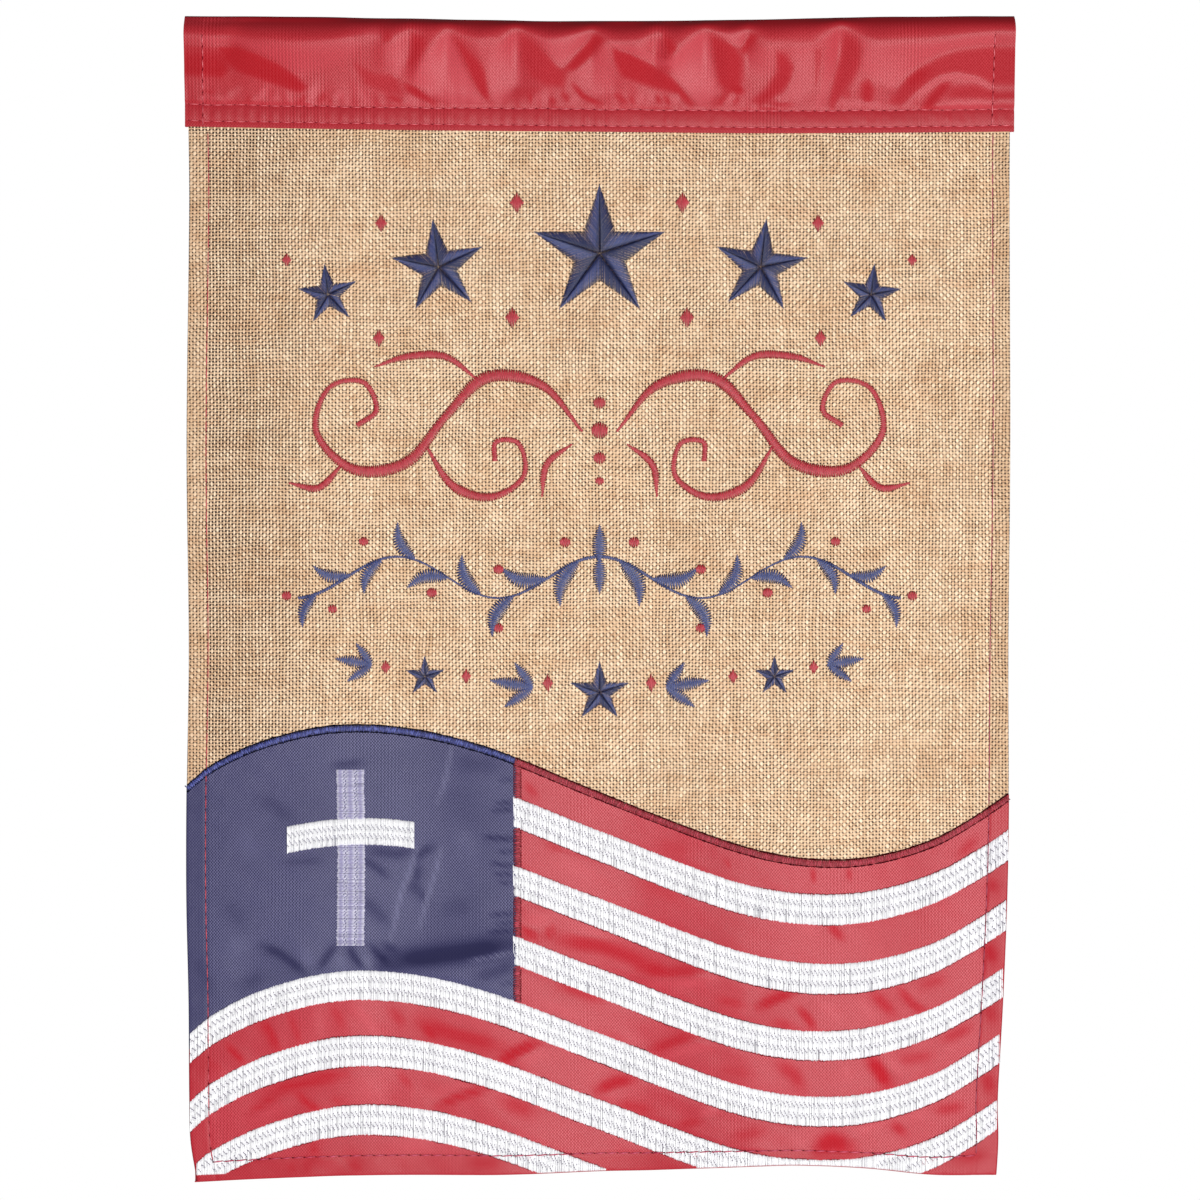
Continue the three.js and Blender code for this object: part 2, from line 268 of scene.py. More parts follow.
class Creased:
    """A height over a rectangle whose slopes come as near as they can to those of the rows' strokes and areas."""

    def __init__(self, low, high, step, rows, slope, reach, soft=2.0):
        self.low, self.step = low, step
        x = np.arange(low[0], high[0] + step, step)
        z = np.arange(low[1], high[1] + step, step)
        x, z = np.meshgrid(x, z)
        tilt = np.zeros(x.shape)
        for r in rows:
            if "area" in r:
                edge = r.get("soft", soft)
                d = inside(x, z, r["area"])
                share = ease((edge - d) / (2 * edge))
            else:
                d, along = off_line(x, z, r["line"])
                share = np.exp(-((d / r["wide"]) ** 2)) * (0.45 + 0.55 * ease(4 * np.minimum(along, 1 - along)))
            tilt = tilt + r["tilt"] * share
        self.tilt = np.clip(tilt, -1.2, 1.2)
        across, up = -0.5 * slope * tilt, slope * tilt
        want = np.gradient(across, step, axis=1) + np.gradient(up, step, axis=0)
        # the height's second derivatives add up to want and it settles back over reach; mirrored so that the rim is free
        big = np.block([[want, want[:, ::-1]], [want[::-1], want[::-1, ::-1]]])
        a = np.cos(2 * np.pi * np.fft.fftfreq(big.shape[0]))[:, None]
        b = np.cos(2 * np.pi * np.fft.fftfreq(big.shape[1]))[None]
        scale = (2 * a + 2 * b - 4) / step**2 - 1 / reach**2
        turned = np.fft.fft2(big) / scale
        self.height = np.fft.ifft2(turned).real[: want.shape[0], : want.shape[1]]

    def __call__(self, x, z):
        return self.read(self.height, x, z)

    def painted_sheen(self, x, z):
        """How far the drawn slopes tilt here: what sets the painted highlight and painted shade on the cloth along its
        creases.
        """
        return self.read(self.tilt, x, z)

    def read(self, h, x, z):
        x, z = np.broadcast_arrays(np.asarray(x, float), np.asarray(z, float))
        u = np.clip((x - self.low[0]) / self.step, 0, h.shape[1] - 1.001)
        v = np.clip((z - self.low[1]) / self.step, 0, h.shape[0] - 1.001)
        i, j = u.astype(int), v.astype(int)
        u, v = u - i, v - j
        return (
            h[j, i] * (1 - u) * (1 - v)
            + h[j, i + 1] * u * (1 - v)
            + h[j + 1, i] * (1 - u) * v
            + h[j + 1, i + 1] * u * v
        )


# ------------------------------------------------------------------ meshes
def link(name, mesh):
    o = bpy.data.objects.new(name, mesh)
    bpy.context.scene.collection.objects.link(o)
    return o


def mesh_of(name, verts, faces, sharp=None, values=None):
    """A mesh from arrays in millimetres. faces is one array of quads and maybe one of triangles."""
    mesh = bpy.data.meshes.new(name)
    sizes = [f.shape[1] for f in faces]
    counts = [len(f) for f in faces]
    mesh.vertices.add(len(verts))
    mesh.vertices.foreach_set("co", (verts * MM).astype(np.float32).ravel())
    loops = np.concatenate([f.ravel() for f in faces]).astype(np.int32)
    mesh.loops.add(len(loops))
    mesh.loops.foreach_set("vertex_index", loops)
    lengths = np.concatenate([np.full(c, s) for c, s in zip(counts, sizes)])
    starts = np.concatenate([[0], np.cumsum(lengths)[:-1]]).astype(np.int32)
    mesh.polygons.add(len(lengths))
    mesh.polygons.foreach_set("loop_start", starts)
    mesh.polygons.foreach_set("use_smooth", np.ones(len(lengths), bool))
    mesh.update(calc_edges=True)
    for key, v in (values or {}).items():
        a = mesh.attributes.new(key, "FLOAT", "POINT")
        a.data.foreach_set("value", np.asarray(v, np.float32).ravel())
    if sharp:
        mesh.set_sharp_from_angle(angle=math.radians(sharp))
    mesh.validate()
    return link(name, mesh)


def solid_of(name, outer, inner, covers=None, values=None, sharp=50):
    """A closed sheet between two lattices of points (rows, columns, 3), over the cells that it covers.
    Seen from outside, rows run down and columns to the right."""
    nj, ni = outer.shape[:2]
    if covers is None:
        covers = np.ones((nj - 1, ni - 1), bool)
    n = nj * ni
    at = np.arange(n).reshape(nj, ni)
    a, b, d, c = at[:-1, :-1], at[:-1, 1:], at[1:, :-1], at[1:, 1:]
    on = covers
    front = np.stack([a[on], d[on], c[on], b[on]], 1)
    back = np.stack([a[on], b[on], c[on], d[on]], 1) + n
    padded = np.zeros((nj + 1, ni + 1), bool)
    padded[1:-1, 1:-1] = on
    here = padded[1:-1, 1:-1]
    sides = []
    for other, p, q in (
        (padded[1:-1, :-2], a, d),
        (padded[2:, 1:-1], d, c),
        (padded[1:-1, 2:], c, b),
        (padded[:-2, 1:-1], b, a),
    ):
        edge = here & ~other
        sides.append(
            np.stack([q[edge], p[edge], p[edge] + n, q[edge] + n], 1)
        )
    faces = np.concatenate([front, back] + sides)
    verts = np.concatenate([outer.reshape(-1, 3), inner.reshape(-1, 3)])
    used = np.zeros(len(verts), bool)
    used[faces.ravel()] = True
    new = np.cumsum(used) - 1
    values = {
        k: np.concatenate([np.ravel(v), np.ravel(v)])[used]
        for k, v in (values or {}).items()
    }
    return mesh_of(name, verts[used], [new[faces]], sharp, values)


def stack(x, y, z):
    return np.stack(np.broadcast_arrays(x, y, z), -1)


class Threads:
    """Many short threads in one mesh. Each is a run of stations with a three-sided section that rounds over its top."""

    def __init__(self):
        self.v, self.f, self.t, self.tone = [], [], [], []
        self.n = 0

    def add(self, centre, side, up, wide, high, tone):
        """centre (threads, stations, 3), side and up unit vectors of the same shape, wide and high (threads, stations), tone per station."""
        count, steps = centre.shape[:2]
        side = np.broadcast_to(side, centre.shape)
        up = np.broadcast_to(up, centre.shape)
        wide = np.broadcast_to(wide, (count, steps))[..., None]
        high = np.broadcast_to(high, (count, steps))[..., None]
        ring = np.stack(
            [centre - side * wide / 2, centre + up * high, centre + side * wide / 2], 2
        )
        verts = ring.reshape(-1, 3)
        base = self.n + np.arange(count)[:, None] * steps * 3
        k = np.arange(steps - 1)[None] * 3
        quads = []
        for p, q in ((0, 1), (1, 2), (2, 0)):
            s = base + k
            quads.append(np.stack([s + p, s + 3 + p, s + 3 + q, s + q], -1))
        self.f.append(np.concatenate([x.reshape(-1, 4) for x in quads]))
        first, last = base[:, 0], base[:, 0] + (steps - 1) * 3
        self.t.append(np.stack([first, first + 1, first + 2], 1))
        self.t.append(np.stack([last + 2, last + 1, last], 1))
        self.v.append(verts)
        self.tone.append(
            np.repeat(np.broadcast_to(tone, (count, steps)).reshape(-1), 3)
        )
        self.n += len(verts)

    def make(self, name, material, slot):
        verts = np.concatenate(self.v)
        quads, tris = np.concatenate(self.f), np.concatenate(self.t)
        # The section turns with side x up, so the winding is set by the sign of the volume.
        p = verts[quads]
        volume = np.einsum(
            "ij,ij->i", p[:, 0], np.cross(p[:, 1], p[:, 2]) + np.cross(p[:, 2], p[:, 3])
        ).sum()
        if volume < 0:
            quads, tris = quads[:, ::-1], tris[:, ::-1]
        o = mesh_of(name, verts, [quads, tris], None, {"tone": np.concatenate(self.tone)})
        o.data.materials.append(material)
        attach(o, "root")
        return o


# ------------------------------------------------------------------ materials
def lin(r, g, b):
    """An sRGB colour of 0 to 255 as a linear one."""
    out = []
    for c in (r, g, b):
        c /= 255
        out.append(c / 12.92 if c <= 0.04045 else ((c + 0.055) / 1.055) ** 2.4)
    return (*out, 1.0)


class Finish:
    """A small helper that puts a material together."""

    def __init__(self, name, **fixed):
        self.m = bpy.data.materials.new(name)
        self.m.use_nodes = True
        self.t = self.m.node_tree
        self.t.nodes.clear()
        out = self.t.nodes.new("ShaderNodeOutputMaterial")
        self.b = self.t.nodes.new("ShaderNodeBsdfPrincipled")
        self.t.links.new(self.b.outputs[0], out.inputs[0])
        for key, value in fixed.items():
            self.b.inputs[key.replace("_", " ")].default_value = value
        at = self.t.nodes.new("ShaderNodeTexCoord")
        self.place = at.outputs["Object"]
        split = self.node("ShaderNodeSeparateXYZ", Vector=self.place)
        self.x, self.y, self.z = (split.outputs[k] for k in range(3))

    def node(self, kind, settings=None, **inputs):
        n = self.t.nodes.new(kind)
        for key, value in (settings or {}).items():
            setattr(n, key, value)
        for key, value in inputs.items():
            self.put(n.inputs[key.replace("_", " ")], value)
        return n

    def put(self, socket, value):
        if isinstance(value, bpy.types.NodeSocket):
            self.t.links.new(value, socket)
        else:
            socket.default_value = value

    def calc(self, op, *values, clamp=False):
        n = self.t.nodes.new("ShaderNodeMath")
        n.operation = op
        n.use_clamp = clamp
        for socket, value in zip(n.inputs, values):
            self.put(socket, value)
        return n.outputs[0]

    def mix(self, share, a, b, how="MIX"):
        n = self.t.nodes.new("ShaderNodeMix")
        n.data_type = "RGBA"
        n.blend_type = how
        self.put(n.inputs[0], share)
        self.put(n.inputs[6], a)
        self.put(n.inputs[7], b)
        return n.outputs[2]

    def span(self, value, low, high, to_low=0.0, to_high=1.0, smooth=True):
        n = self.t.nodes.new("ShaderNodeMapRange")
        n.interpolation_type = "SMOOTHSTEP" if smooth else "LINEAR"
        for socket, v in zip(n.inputs, (value, low, high, to_low, to_high)):
            self.put(socket, v)
        return n.outputs[0]

    def vector(self, x, y, z=0.0):
        return self.node("ShaderNodeCombineXYZ", X=x, Y=y, Z=z).outputs[0]

    def noise(self, vector, scale, detail=2.0, rough=0.5):
        return self.node(
            "ShaderNodeTexNoise",
            Vector=vector,
            Scale=scale,
            Detail=detail,
            Roughness=rough,
        ).outputs[0]

    def random(self, w):
        n = self.t.nodes.new("ShaderNodeTexWhiteNoise")
        n.noise_dimensions = "1D"
        self.put(n.inputs["W"], w)
        return n.outputs[0]

    def attribute(self, name):
        n = self.t.nodes.new("ShaderNodeAttribute")
        n.attribute_name = name
        return n.outputs["Fac"]

    def bump(self, height, distance, strength=1.0, normal=None):
        n = self.node(
            "ShaderNodeBump", Height=height, Distance=distance, Strength=strength
        )
        if normal is not None:
            self.put(n.inputs["Normal"], normal)
        return n.outputs[0]


def burlap_finish():
    """Plain weave of uneven flax-coloured threads, with painted highlight where the threads rise and painted shade
    where they sink and in the gaps.
    """
    f = Finish("burlap", Roughness=0.88, Sheen_Weight=0.12, Sheen_Roughness=0.6)
    f.b.inputs["Specular IOR Level"].default_value = 0.2
    wander = f.noise(f.place, 14.0, 2.0)
    wander2 = f.noise(f.vector(f.z, f.x, 0.37), 14.0, 2.0)
    u = f.calc(
        "ADD",
        f.calc("MULTIPLY", f.x, 1000 / 2.9),
        f.calc("MULTIPLY", f.calc("SUBTRACT", wander, 0.5), 1.5),
    )
    v = f.calc(
        "ADD",
        f.calc("MULTIPLY", f.z, 1000 / 2.79),
        f.calc("MULTIPLY", f.calc("SUBTRACT", wander2, 0.5), 1.5),
    )
    iu, iv = f.calc("FLOOR", u), f.calc("FLOOR", v)
    fu = f.calc("SUBTRACT", f.calc("SUBTRACT", u, iu), 0.5)
    fv = f.calc("SUBTRACT", f.calc("SUBTRACT", v, iv), 0.5)
    # +1 where the upright thread is on top, -1 where the cross thread is
    turn = f.calc("COSINE", f.calc("MULTIPLY", f.calc("ADD", iu, iv), math.pi))
    # slubs: each thread swells and thins along its length
    slub_u = f.noise(
        f.vector(f.calc("MULTIPLY", iu, 7.31), f.calc("MULTIPLY", v, 0.11)), 1.0, 2.0
    )
    slub_v = f.noise(
        f.vector(f.calc("MULTIPLY", u, 0.11), f.calc("MULTIPLY", iv, 5.17), 3.0), 1.0, 2.0
    )
    # painted shade beside the left hem and under the sleeve: the threads are drawn thinner there, so the dark gaps grow
    left_top_shade = f.attribute("left_top_shade")
    thin = f.calc("SUBTRACT", 1.0, f.calc("MULTIPLY", left_top_shade, 0.24))
    wide_u = f.calc("MULTIPLY", f.span(slub_u, 0.28, 0.74, 0.56, 0.82), thin)
    wide_v = f.calc("MULTIPLY", f.span(slub_v, 0.28, 0.74, 0.44, 0.72), thin)

    def thread(across, wide, along, sign):
        t = f.calc("DIVIDE", across, f.calc("MULTIPLY", wide, 0.5))
        body = f.calc("SUBTRACT", 1.0, f.calc("MULTIPLY", t, t), clamp=True)
        rise = f.calc(
            "MULTIPLY_ADD",
            f.calc("MULTIPLY", turn, f.calc("COSINE", f.calc("MULTIPLY", along, math.pi))),
            0.5 * sign,
            0.5,
        )
        height = f.calc("MULTIPLY_ADD", rise, 0.62, f.calc("MULTIPLY", f.calc("SQRT", body), 0.38))
        return f.calc("MULTIPLY", height, f.calc("GREATER_THAN", body, 0.001)), rise

    up, rise_u = thread(fu, wide_u, fv, 1)
    across, rise_v = thread(fv, wide_v, fu, -1)
    top = f.calc("MAXIMUM", up, across)
    # painted highlight and painted shade in lines along one diagonal or the other, where the yarns' twist catches the
    # light
    way = f.span(f.noise(f.vector(f.x, f.z, 9.0), 20.0, 1.0), 0.4, 0.6)
    fall = f.calc("COSINE", f.calc("MULTIPLY", f.calc("SUBTRACT", u, v), math.pi))
    rise = f.calc("COSINE", f.calc("MULTIPLY", f.calc("ADD", u, v), math.pi))
    twist = f.calc("SUBTRACT", f.calc("MULTIPLY", fall, way), f.calc("MULTIPLY", rise, f.calc("SUBTRACT", 1.0, way)))
    lit = f.calc("MULTIPLY_ADD", twist, 0.2, f.calc("MAXIMUM", up, f.calc("MULTIPLY", across, 0.9)))
    is_up = f.calc("GREATER_THAN", up, across)
    fibre = f.noise(f.vector(f.calc("MULTIPLY", u, 2.0), f.calc("MULTIPLY", v, 2.2), 1.7), 1.6, 3.0, 0.7)
    own_u, own_v = f.random(iu), f.random(f.calc("ADD", iv, 0.5))
    # thread colours
    cream = f.mix(own_u, lin(230, 202, 168), lin(248, 224, 194))
    cream = f.mix(f.span(slub_u, 0.4, 0.75, 0.0, 0.7), cream, lin(251, 230, 203))
    straw = f.mix(own_v, lin(220, 188, 154), lin(238, 208, 176))
    straw = f.mix(f.span(slub_v, 0.46, 0.8, 0.0, 0.7), straw, lin(246, 220, 190))
    color = f.mix(is_up, straw, cream)
    # every crossing catches the light a little differently
    own = f.random(f.calc("ADD", f.calc("MULTIPLY", iu, 0.731), f.calc("MULTIPLY", iv, 57.13)))
    color = f.mix(f.calc("MULTIPLY", own, 0.3), color, lin(188, 150, 116), "MULTIPLY")
    # patches where the flax is more ochre, pinker or greyer
    patch = f.noise(f.vector(f.x, f.calc("MULTIPLY", f.z, 1.6)), 16.0, 4.0, 0.65)
    patch2 = f.noise(f.vector(f.calc("MULTIPLY", f.x, 0.6), f.calc("MULTIPLY", f.z, 2.4), 5.0), 34.0, 4.0, 0.65)
    color = f.mix(f.span(patch, 0.42, 0.7, 0.0, 0.28), color, lin(222, 186, 142), "MULTIPLY")
    color = f.mix(f.span(patch2, 0.45, 0.72, 0.0, 0.26), color, lin(226, 190, 158), "MULTIPLY")
    # painted shade: darker where the threads sink and in the gaps, full colour where they rise
    deep = f.span(lit, 0.1, 0.7, 0.0, 1.0, False)
    painted_shade = f.mix(deep, lin(34, 17, 7), (1, 1, 1, 1))
    color = f.mix(1.0, color, painted_shade, "MULTIPLY")
    # painted shade along the twist's diagonal lines
    color = f.mix(f.calc("MULTIPLY_ADD", twist, -0.07, 0.07), color, lin(176, 146, 116), "MULTIPLY")
    color = f.mix(f.span(fibre, 0.3, 0.7, 0.22, 0.0), color, lin(176, 140, 104), "MULTIPLY")
    hem = f.attribute("hem")
    color = f.mix(f.calc("MULTIPLY", hem, 0.2), color, lin(178, 152, 122), "MULTIPLY")
    # painted shade beside the left hem and under the sleeve, darker and greyer
    color = f.mix(f.calc("MULTIPLY", left_top_shade, 0.1), color, lin(214, 208, 200), "MULTIPLY")
    color = f.mix(1.0, color, (0.92, 0.915, 0.9, 1), "MULTIPLY")
    f.put(f.b.inputs["Base Color"], color)
    rough = f.bump(fibre, 0.00012, 0.5)
    f.put(f.b.inputs["Normal"], f.bump(top, 0.0007, 0.85, rough))
    return f.m


def nylon_finish(name, deep, pale, dark, painted_highlight_colour, painted_shade_colour, gloss, checks, ribs, turned=0.92):
    """Fine woven nylon: a checked grain with upright ribs, a soft gloss on its yarns, darker double cloth, and painted
    highlight and painted shade along its creases.
    """
    f = Finish(name, Roughness=0.44)
    f.b.inputs["Specular IOR Level"].default_value = gloss
    lean = f.noise(f.place, 5.0, 1.0)
    bend = f.calc("MULTIPLY", f.calc("SUBTRACT", lean, 0.5), 9.0)

    def wave(axis, pitch, share=1.0):
        turns = f.calc("MULTIPLY", axis, 2 * math.pi / pitch)
        return f.calc("SINE", f.calc("ADD", turns, f.calc("MULTIPLY", bend, share)))

    grain = f.calc("MULTIPLY", wave(f.x, 0.00243), wave(f.z, 0.0028, 0.7))
    rib = wave(f.x, 0.00305, 1.3)
    where = f.span(f.noise(f.vector(f.x, f.calc("MULTIPLY", f.z, 0.25), 2.0), 28.0, 2.0), 0.42, 0.7)
    fine = f.noise(f.vector(f.x, f.z, 0.7), 620.0, 1.0)
    yarn = f.calc("MULTIPLY_ADD", grain, checks, 0.5)
    yarn = f.calc("ADD", yarn, f.calc("MULTIPLY", f.calc("MULTIPLY", rib, where), ribs))
    yarn = f.calc("ADD", yarn, f.calc("MULTIPLY", f.calc("SUBTRACT", fine, 0.5), 0.9))
    patch = f.noise(f.place, 12.0, 3.0, 0.6)
    color = f.mix(f.span(yarn, 0.0, 1.0, 0.0, 1.0, False), deep, pale)
    color = f.mix(f.span(patch, 0.4, 0.7, 0.0, 0.2), color, deep)
    # painted highlight and painted shade: where the creases turn the yarns towards the front the colour is painted
    # paler and hazier, where they turn away it is painted deeper
    painted_sheen = f.attribute("painted_sheen")
    color = f.mix(f.span(painted_sheen, 0.0, -1.3, 0.0, turned, False), color, painted_shade_colour)
    color = f.mix(f.span(painted_sheen, 0.0, 1.3, 0.0, 0.4, False), color, painted_highlight_colour)
    # darker double cloth at the hems and turnings and on the sleeve's lower band; on the sleeve this also carries
    # painted shade over the top of the roll
    color = f.mix(f.calc("MULTIPLY", f.attribute("hem"), 0.5), color, dark)
    f.put(f.b.inputs["Base Color"], color)
    rough = f.span(yarn, 0.1, 0.9, 0.54, 0.36)
    f.put(f.b.inputs["Roughness"], f.calc("ADD", rough, f.span(painted_sheen, 0.0, -0.8, 0.0, 0.42, False)))
    f.put(f.b.inputs["Normal"], f.bump(yarn, 0.00012, 0.6))
    return f.m


def thread_finish(name, foot, body, light, rough=0.36, sheen=0.3, gloss=0.5):
    """Embroidery thread: painted shade where it dives into the cloth and painted highlight along its crown, both set by
    its tone, which also differs stitch by stitch.
    """
    f = Finish(
        name, Roughness=rough, Sheen_Weight=sheen, Sheen_Roughness=0.3, Sheen_Tint=light
    )
    f.b.inputs["Specular IOR Level"].default_value = gloss
    tone = f.attribute("tone")
    fleck = f.noise(f.place, 900.0, 2.0)
    # painted shade at the thread's feet and painted highlight on its crown, set by tone
    color = f.mix(f.span(tone, 0.0, 0.6), foot, body)
    color = f.mix(f.span(tone, 0.55, 1.0, 0.0, 0.8), color, light)
    color = f.mix(f.span(fleck, 0.4, 0.7, 0.0, 0.18), color, foot)
    f.put(f.b.inputs["Base Color"], color)
    f.put(f.b.inputs["Normal"], f.bump(fleck, 0.00006, 0.4))
    return f.m


BURLAP = burlap_finish()
RED_NYLON = nylon_finish(
    "red_nylon", lin(132, 11, 23), lin(178, 57, 69), lin(147, 16, 29), lin(196, 87, 97), lin(162, 10, 24), 0.2, 0.6, 0.2
)
RED_SLEEVE = nylon_finish(
    "red_nylon_sleeve", lin(128, 13, 22), lin(177, 53, 62), lin(134, 16, 25), lin(188, 82, 91), lin(148, 10, 20), 0.16, 0.5, 0.36, 0.78
)
NAVY_NYLON = nylon_finish(
    "navy_nylon", lin(34, 33, 63), lin(89, 87, 119), lin(48, 47, 79), lin(108, 107, 139), lin(31, 30, 61), 0.12, 1.0, 0.2
)
# each thread's foot colour is painted shade where it dives in, and its light colour is painted highlight
WHITE_THREAD = thread_finish("white_thread", lin(66, 60, 74), lin(242, 240, 245), lin(255, 255, 255), 0.36, 0.2)
UNDERLAY = thread_finish("stitch_underlay", lin(84, 78, 92), lin(84, 78, 92), lin(96, 90, 104), 0.8, 0.0, 0.1)
LILAC_THREAD = thread_finish("white_thread_open", lin(80, 76, 122), lin(166, 160, 200), lin(246, 244, 252), 0.36, 0.12)
NAVY_THREAD = thread_finish("navy_thread", lin(10, 12, 31), lin(33, 40, 84), lin(80, 89, 141), 0.36, 0.2)
ROYAL_THREAD = thread_finish("royal_thread", lin(12, 12, 40), lin(48, 55, 122), lin(100, 108, 182), 0.4, 0.12)
RED_THREAD = thread_finish("red_thread", lin(64, 5, 12), lin(154, 28, 41), lin(201, 68, 80), 0.36, 0.2)
BORDER_THREAD = thread_finish("red_border_thread", lin(62, 5, 16), lin(142, 20, 38), lin(188, 60, 80), 0.45, 0.12)
SEAM_THREAD = thread_finish("seam_thread", lin(64, 10, 22), lin(160, 31, 48), lin(199, 74, 89), 0.5)
# dark needle holes and pricks, and painted shadow lines beside satin edges
SHADE_THREAD = thread_finish("needle_holes_and_painted_shadow", lin(52, 2, 8), lin(98, 8, 20), lin(120, 20, 34), 0.9, 0.0, 0.05)
DARK_THREAD = thread_finish("painted_shadow_and_holes_navy", lin(5, 6, 16), lin(14, 15, 32), lin(24, 25, 44), 0.9, 0.0, 0.05)
PLUM_THREAD = thread_finish("plum_thread", lin(66, 6, 28), lin(158, 26, 60), lin(206, 84, 116), 0.45, 0.12)
WINE_THREAD = thread_finish("wine_thread", lin(62, 8, 30), lin(134, 30, 62), lin(178, 76, 102), 0.5, 0.1)
PALE_RED_THREAD = thread_finish("pale_red_thread", lin(84, 6, 16), lin(184, 56, 68), lin(216, 104, 114), 0.45, 0.15)

# ------------------------------------------------------------------ lattices
HEM = 17.5


def settle(columns, rows):
    """Where columns (each a function of height) and rows (each a function of the place across) cross."""
    x = np.stack([np.broadcast_to(c(-500.0), ()) for c in columns])[None] * np.ones(
        (len(rows), 1)
    )
    z = np.zeros_like(x)
    for _ in range(10):
        z = np.stack([r(x[j]) for j, r in enumerate(rows)])
        x = np.stack([c(z[:, i]) for i, c in enumerate(columns)], 1)
    return x, np.stack([r(x[j]) for j, r in enumerate(rows)])


def panel_columns(step, fine=(0, 0.5, 1.3, 3, 6, 10, 13.5, 15.5, 16.4, 17.1, 17.8, 18.7, 20.5)):
    inner = fine[-1]
    count = int(round((716 - 2 * inner) / step))
    out = [lambda z, o=o: left_edge(z) + o for o in fine]
    for k in range(1, count):
        s = k / count
        out.append(
            lambda z, s=s: (left_edge(z) + inner) * (1 - s) + (right_edge(z) - inner) * s
        )
    out += [lambda z, o=o: right_edge(z) - o for o in reversed(fine)]
    return out


# ------------------------------------------------------------------ burlap panel
unevenness = ripples(3, 26, 90)
fine_unevenness = ripples(4, 13, 26)
foot_seam_up = table(
    [
        dict(x=-340, up=17.0),
        dict(x=-121, up=17.0),
        dict(x=87, up=14.6),
        dict(x=174, up=13.0),
        dict(x=261, up=14.4),
        dict(x=327, up=17.0),
    ],
    "x",
    "up",
)


def seam_left(z):
    return left_edge(z) + 17.0


def seam_right(z):
    return right_edge(z) - (14.8 + 4.2 * ease((-300 - z) / 700))


def seam_foot(x):
    return foot_edge(x) + foot_seam_up(x)


def hem_share(x, z):
    """1 on the doubled cloth of the hems, 0 on the single cloth."""
    left = 1 - ease((x - seam_left(z)) / 1.5)
    right = 1 - ease((seam_right(z) - x) / 1.5)
    foot = 1 - ease((z - seam_foot(x)) / 1.5)
    return np.maximum(np.maximum(left, right), foot)


def seam_groove(x, z, depth, wide):
    """The stitches draw the cloth in along the hems' seams."""
    g = np.exp(-(((x - seam_left(z)) / wide) ** 2))
    g = np.maximum(g, np.exp(-(((x - seam_right(z)) / wide) ** 2)))
    inside = (x > seam_left(z) - 2) & (x < seam_right(z) + 2)
    g = np.maximum(g, np.exp(-(((z - seam_foot(x)) / wide) ** 2)) * inside)
    return g * depth


def edge_round(x, z, radius, drop):
    """The folded edges turn away over the last millimetre."""
    d = np.minimum(np.minimum(x - left_edge(z), right_edge(z) - x), z - foot_edge(x))
    t = np.clip(1 - d / radius, 0, 1)
    return drop * t * t


def burlap_relief(x, z):
    """How far the burlap's face stands proud of its plain surface."""
    free = ease((-98 - z) / 30)
    y = (0.28 * unevenness(x, z) + 0.1 * fine_unevenness(x, z)) * free
    y = y - seam_groove(x, z, 0.35, 1.6) * free
    y = y + 0.16 * hem_share(x, z) * np.sin(2 * np.pi * (x + z) / 12.5) * free
    return y * ease((z - wave_edge(x) + 1) / 5)


def burlap_face(x, z):
    return hang(x, z) - 0.75 - burlap_relief(x, z)


def left_top_shade_share(x, z):
    """Painted shade: 1 in a strip beside the left hem, fading out to the right; a little of it under the sleeve too."""
    left = 1 - ease((x + 340) / 130)
    top = 0.3 * (1 - ease((-98 - z) / 45))
    return np.minimum(1, left + top)


def make_panel():
    columns = panel_columns(5.6)
    top = [16.4, 10, 4, -1, -2.2, -3.6, -6]
    foot = [0, 0.5, 1.3, 3.2, 6.5, 10, 12.6, 14.2, 15.6, 17.0, 18.6, 21]
    rows = [lambda x, o=o: sleeve_foot(x) + o for o in top]
    count = 158
    for k in range(1, count):
        s = k / count
        rows.append(
            lambda x, s=s: (sleeve_foot(x) + top[-1]) * (1 - s)
            + (foot_edge(x) + foot[-1]) * s
        )
    rows += [lambda x, o=o: foot_edge(x) + o for o in reversed(foot)]
    x, z = settle(columns, rows)
    relief = burlap_relief(x, z)
    base = hang(x, z)
    hem = hem_share(x, z) * (z < -98)
    turn = edge_round(x, z, 1.3, 0.9)
    front = stack(x, base - 0.75 - relief + turn, z)
    back = stack(x, base + 0.6 - relief + 1.1 * hem - turn, z)
    o = solid_of("burlap_panel", front, back, values={"hem": hem, "left_top_shade": left_top_shade_share(x, z) * (1 - hem)})
    o.data.materials.append(BURLAP)
    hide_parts("body_panel")
    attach(o, "root")
    return o


# ------------------------------------------------------------------ stripes
STRIPE_HALF = [13.4, 13.3, 12.9, 13.0, 13.3, 13.3]
CANTON_EDGE = -74.6  # where the upper stripes begin, over the canton's edge
stripe_clip = table(
    [
        dict(x=-352, up=6.0),
        dict(x=-300, up=5.2),
        dict(x=-240, up=4.0),
        dict(x=-150, up=1.2),
        dict(x=0, up=0.6),
        dict(x=350, up=0.6),
    ],
    "x",
    "up",
)


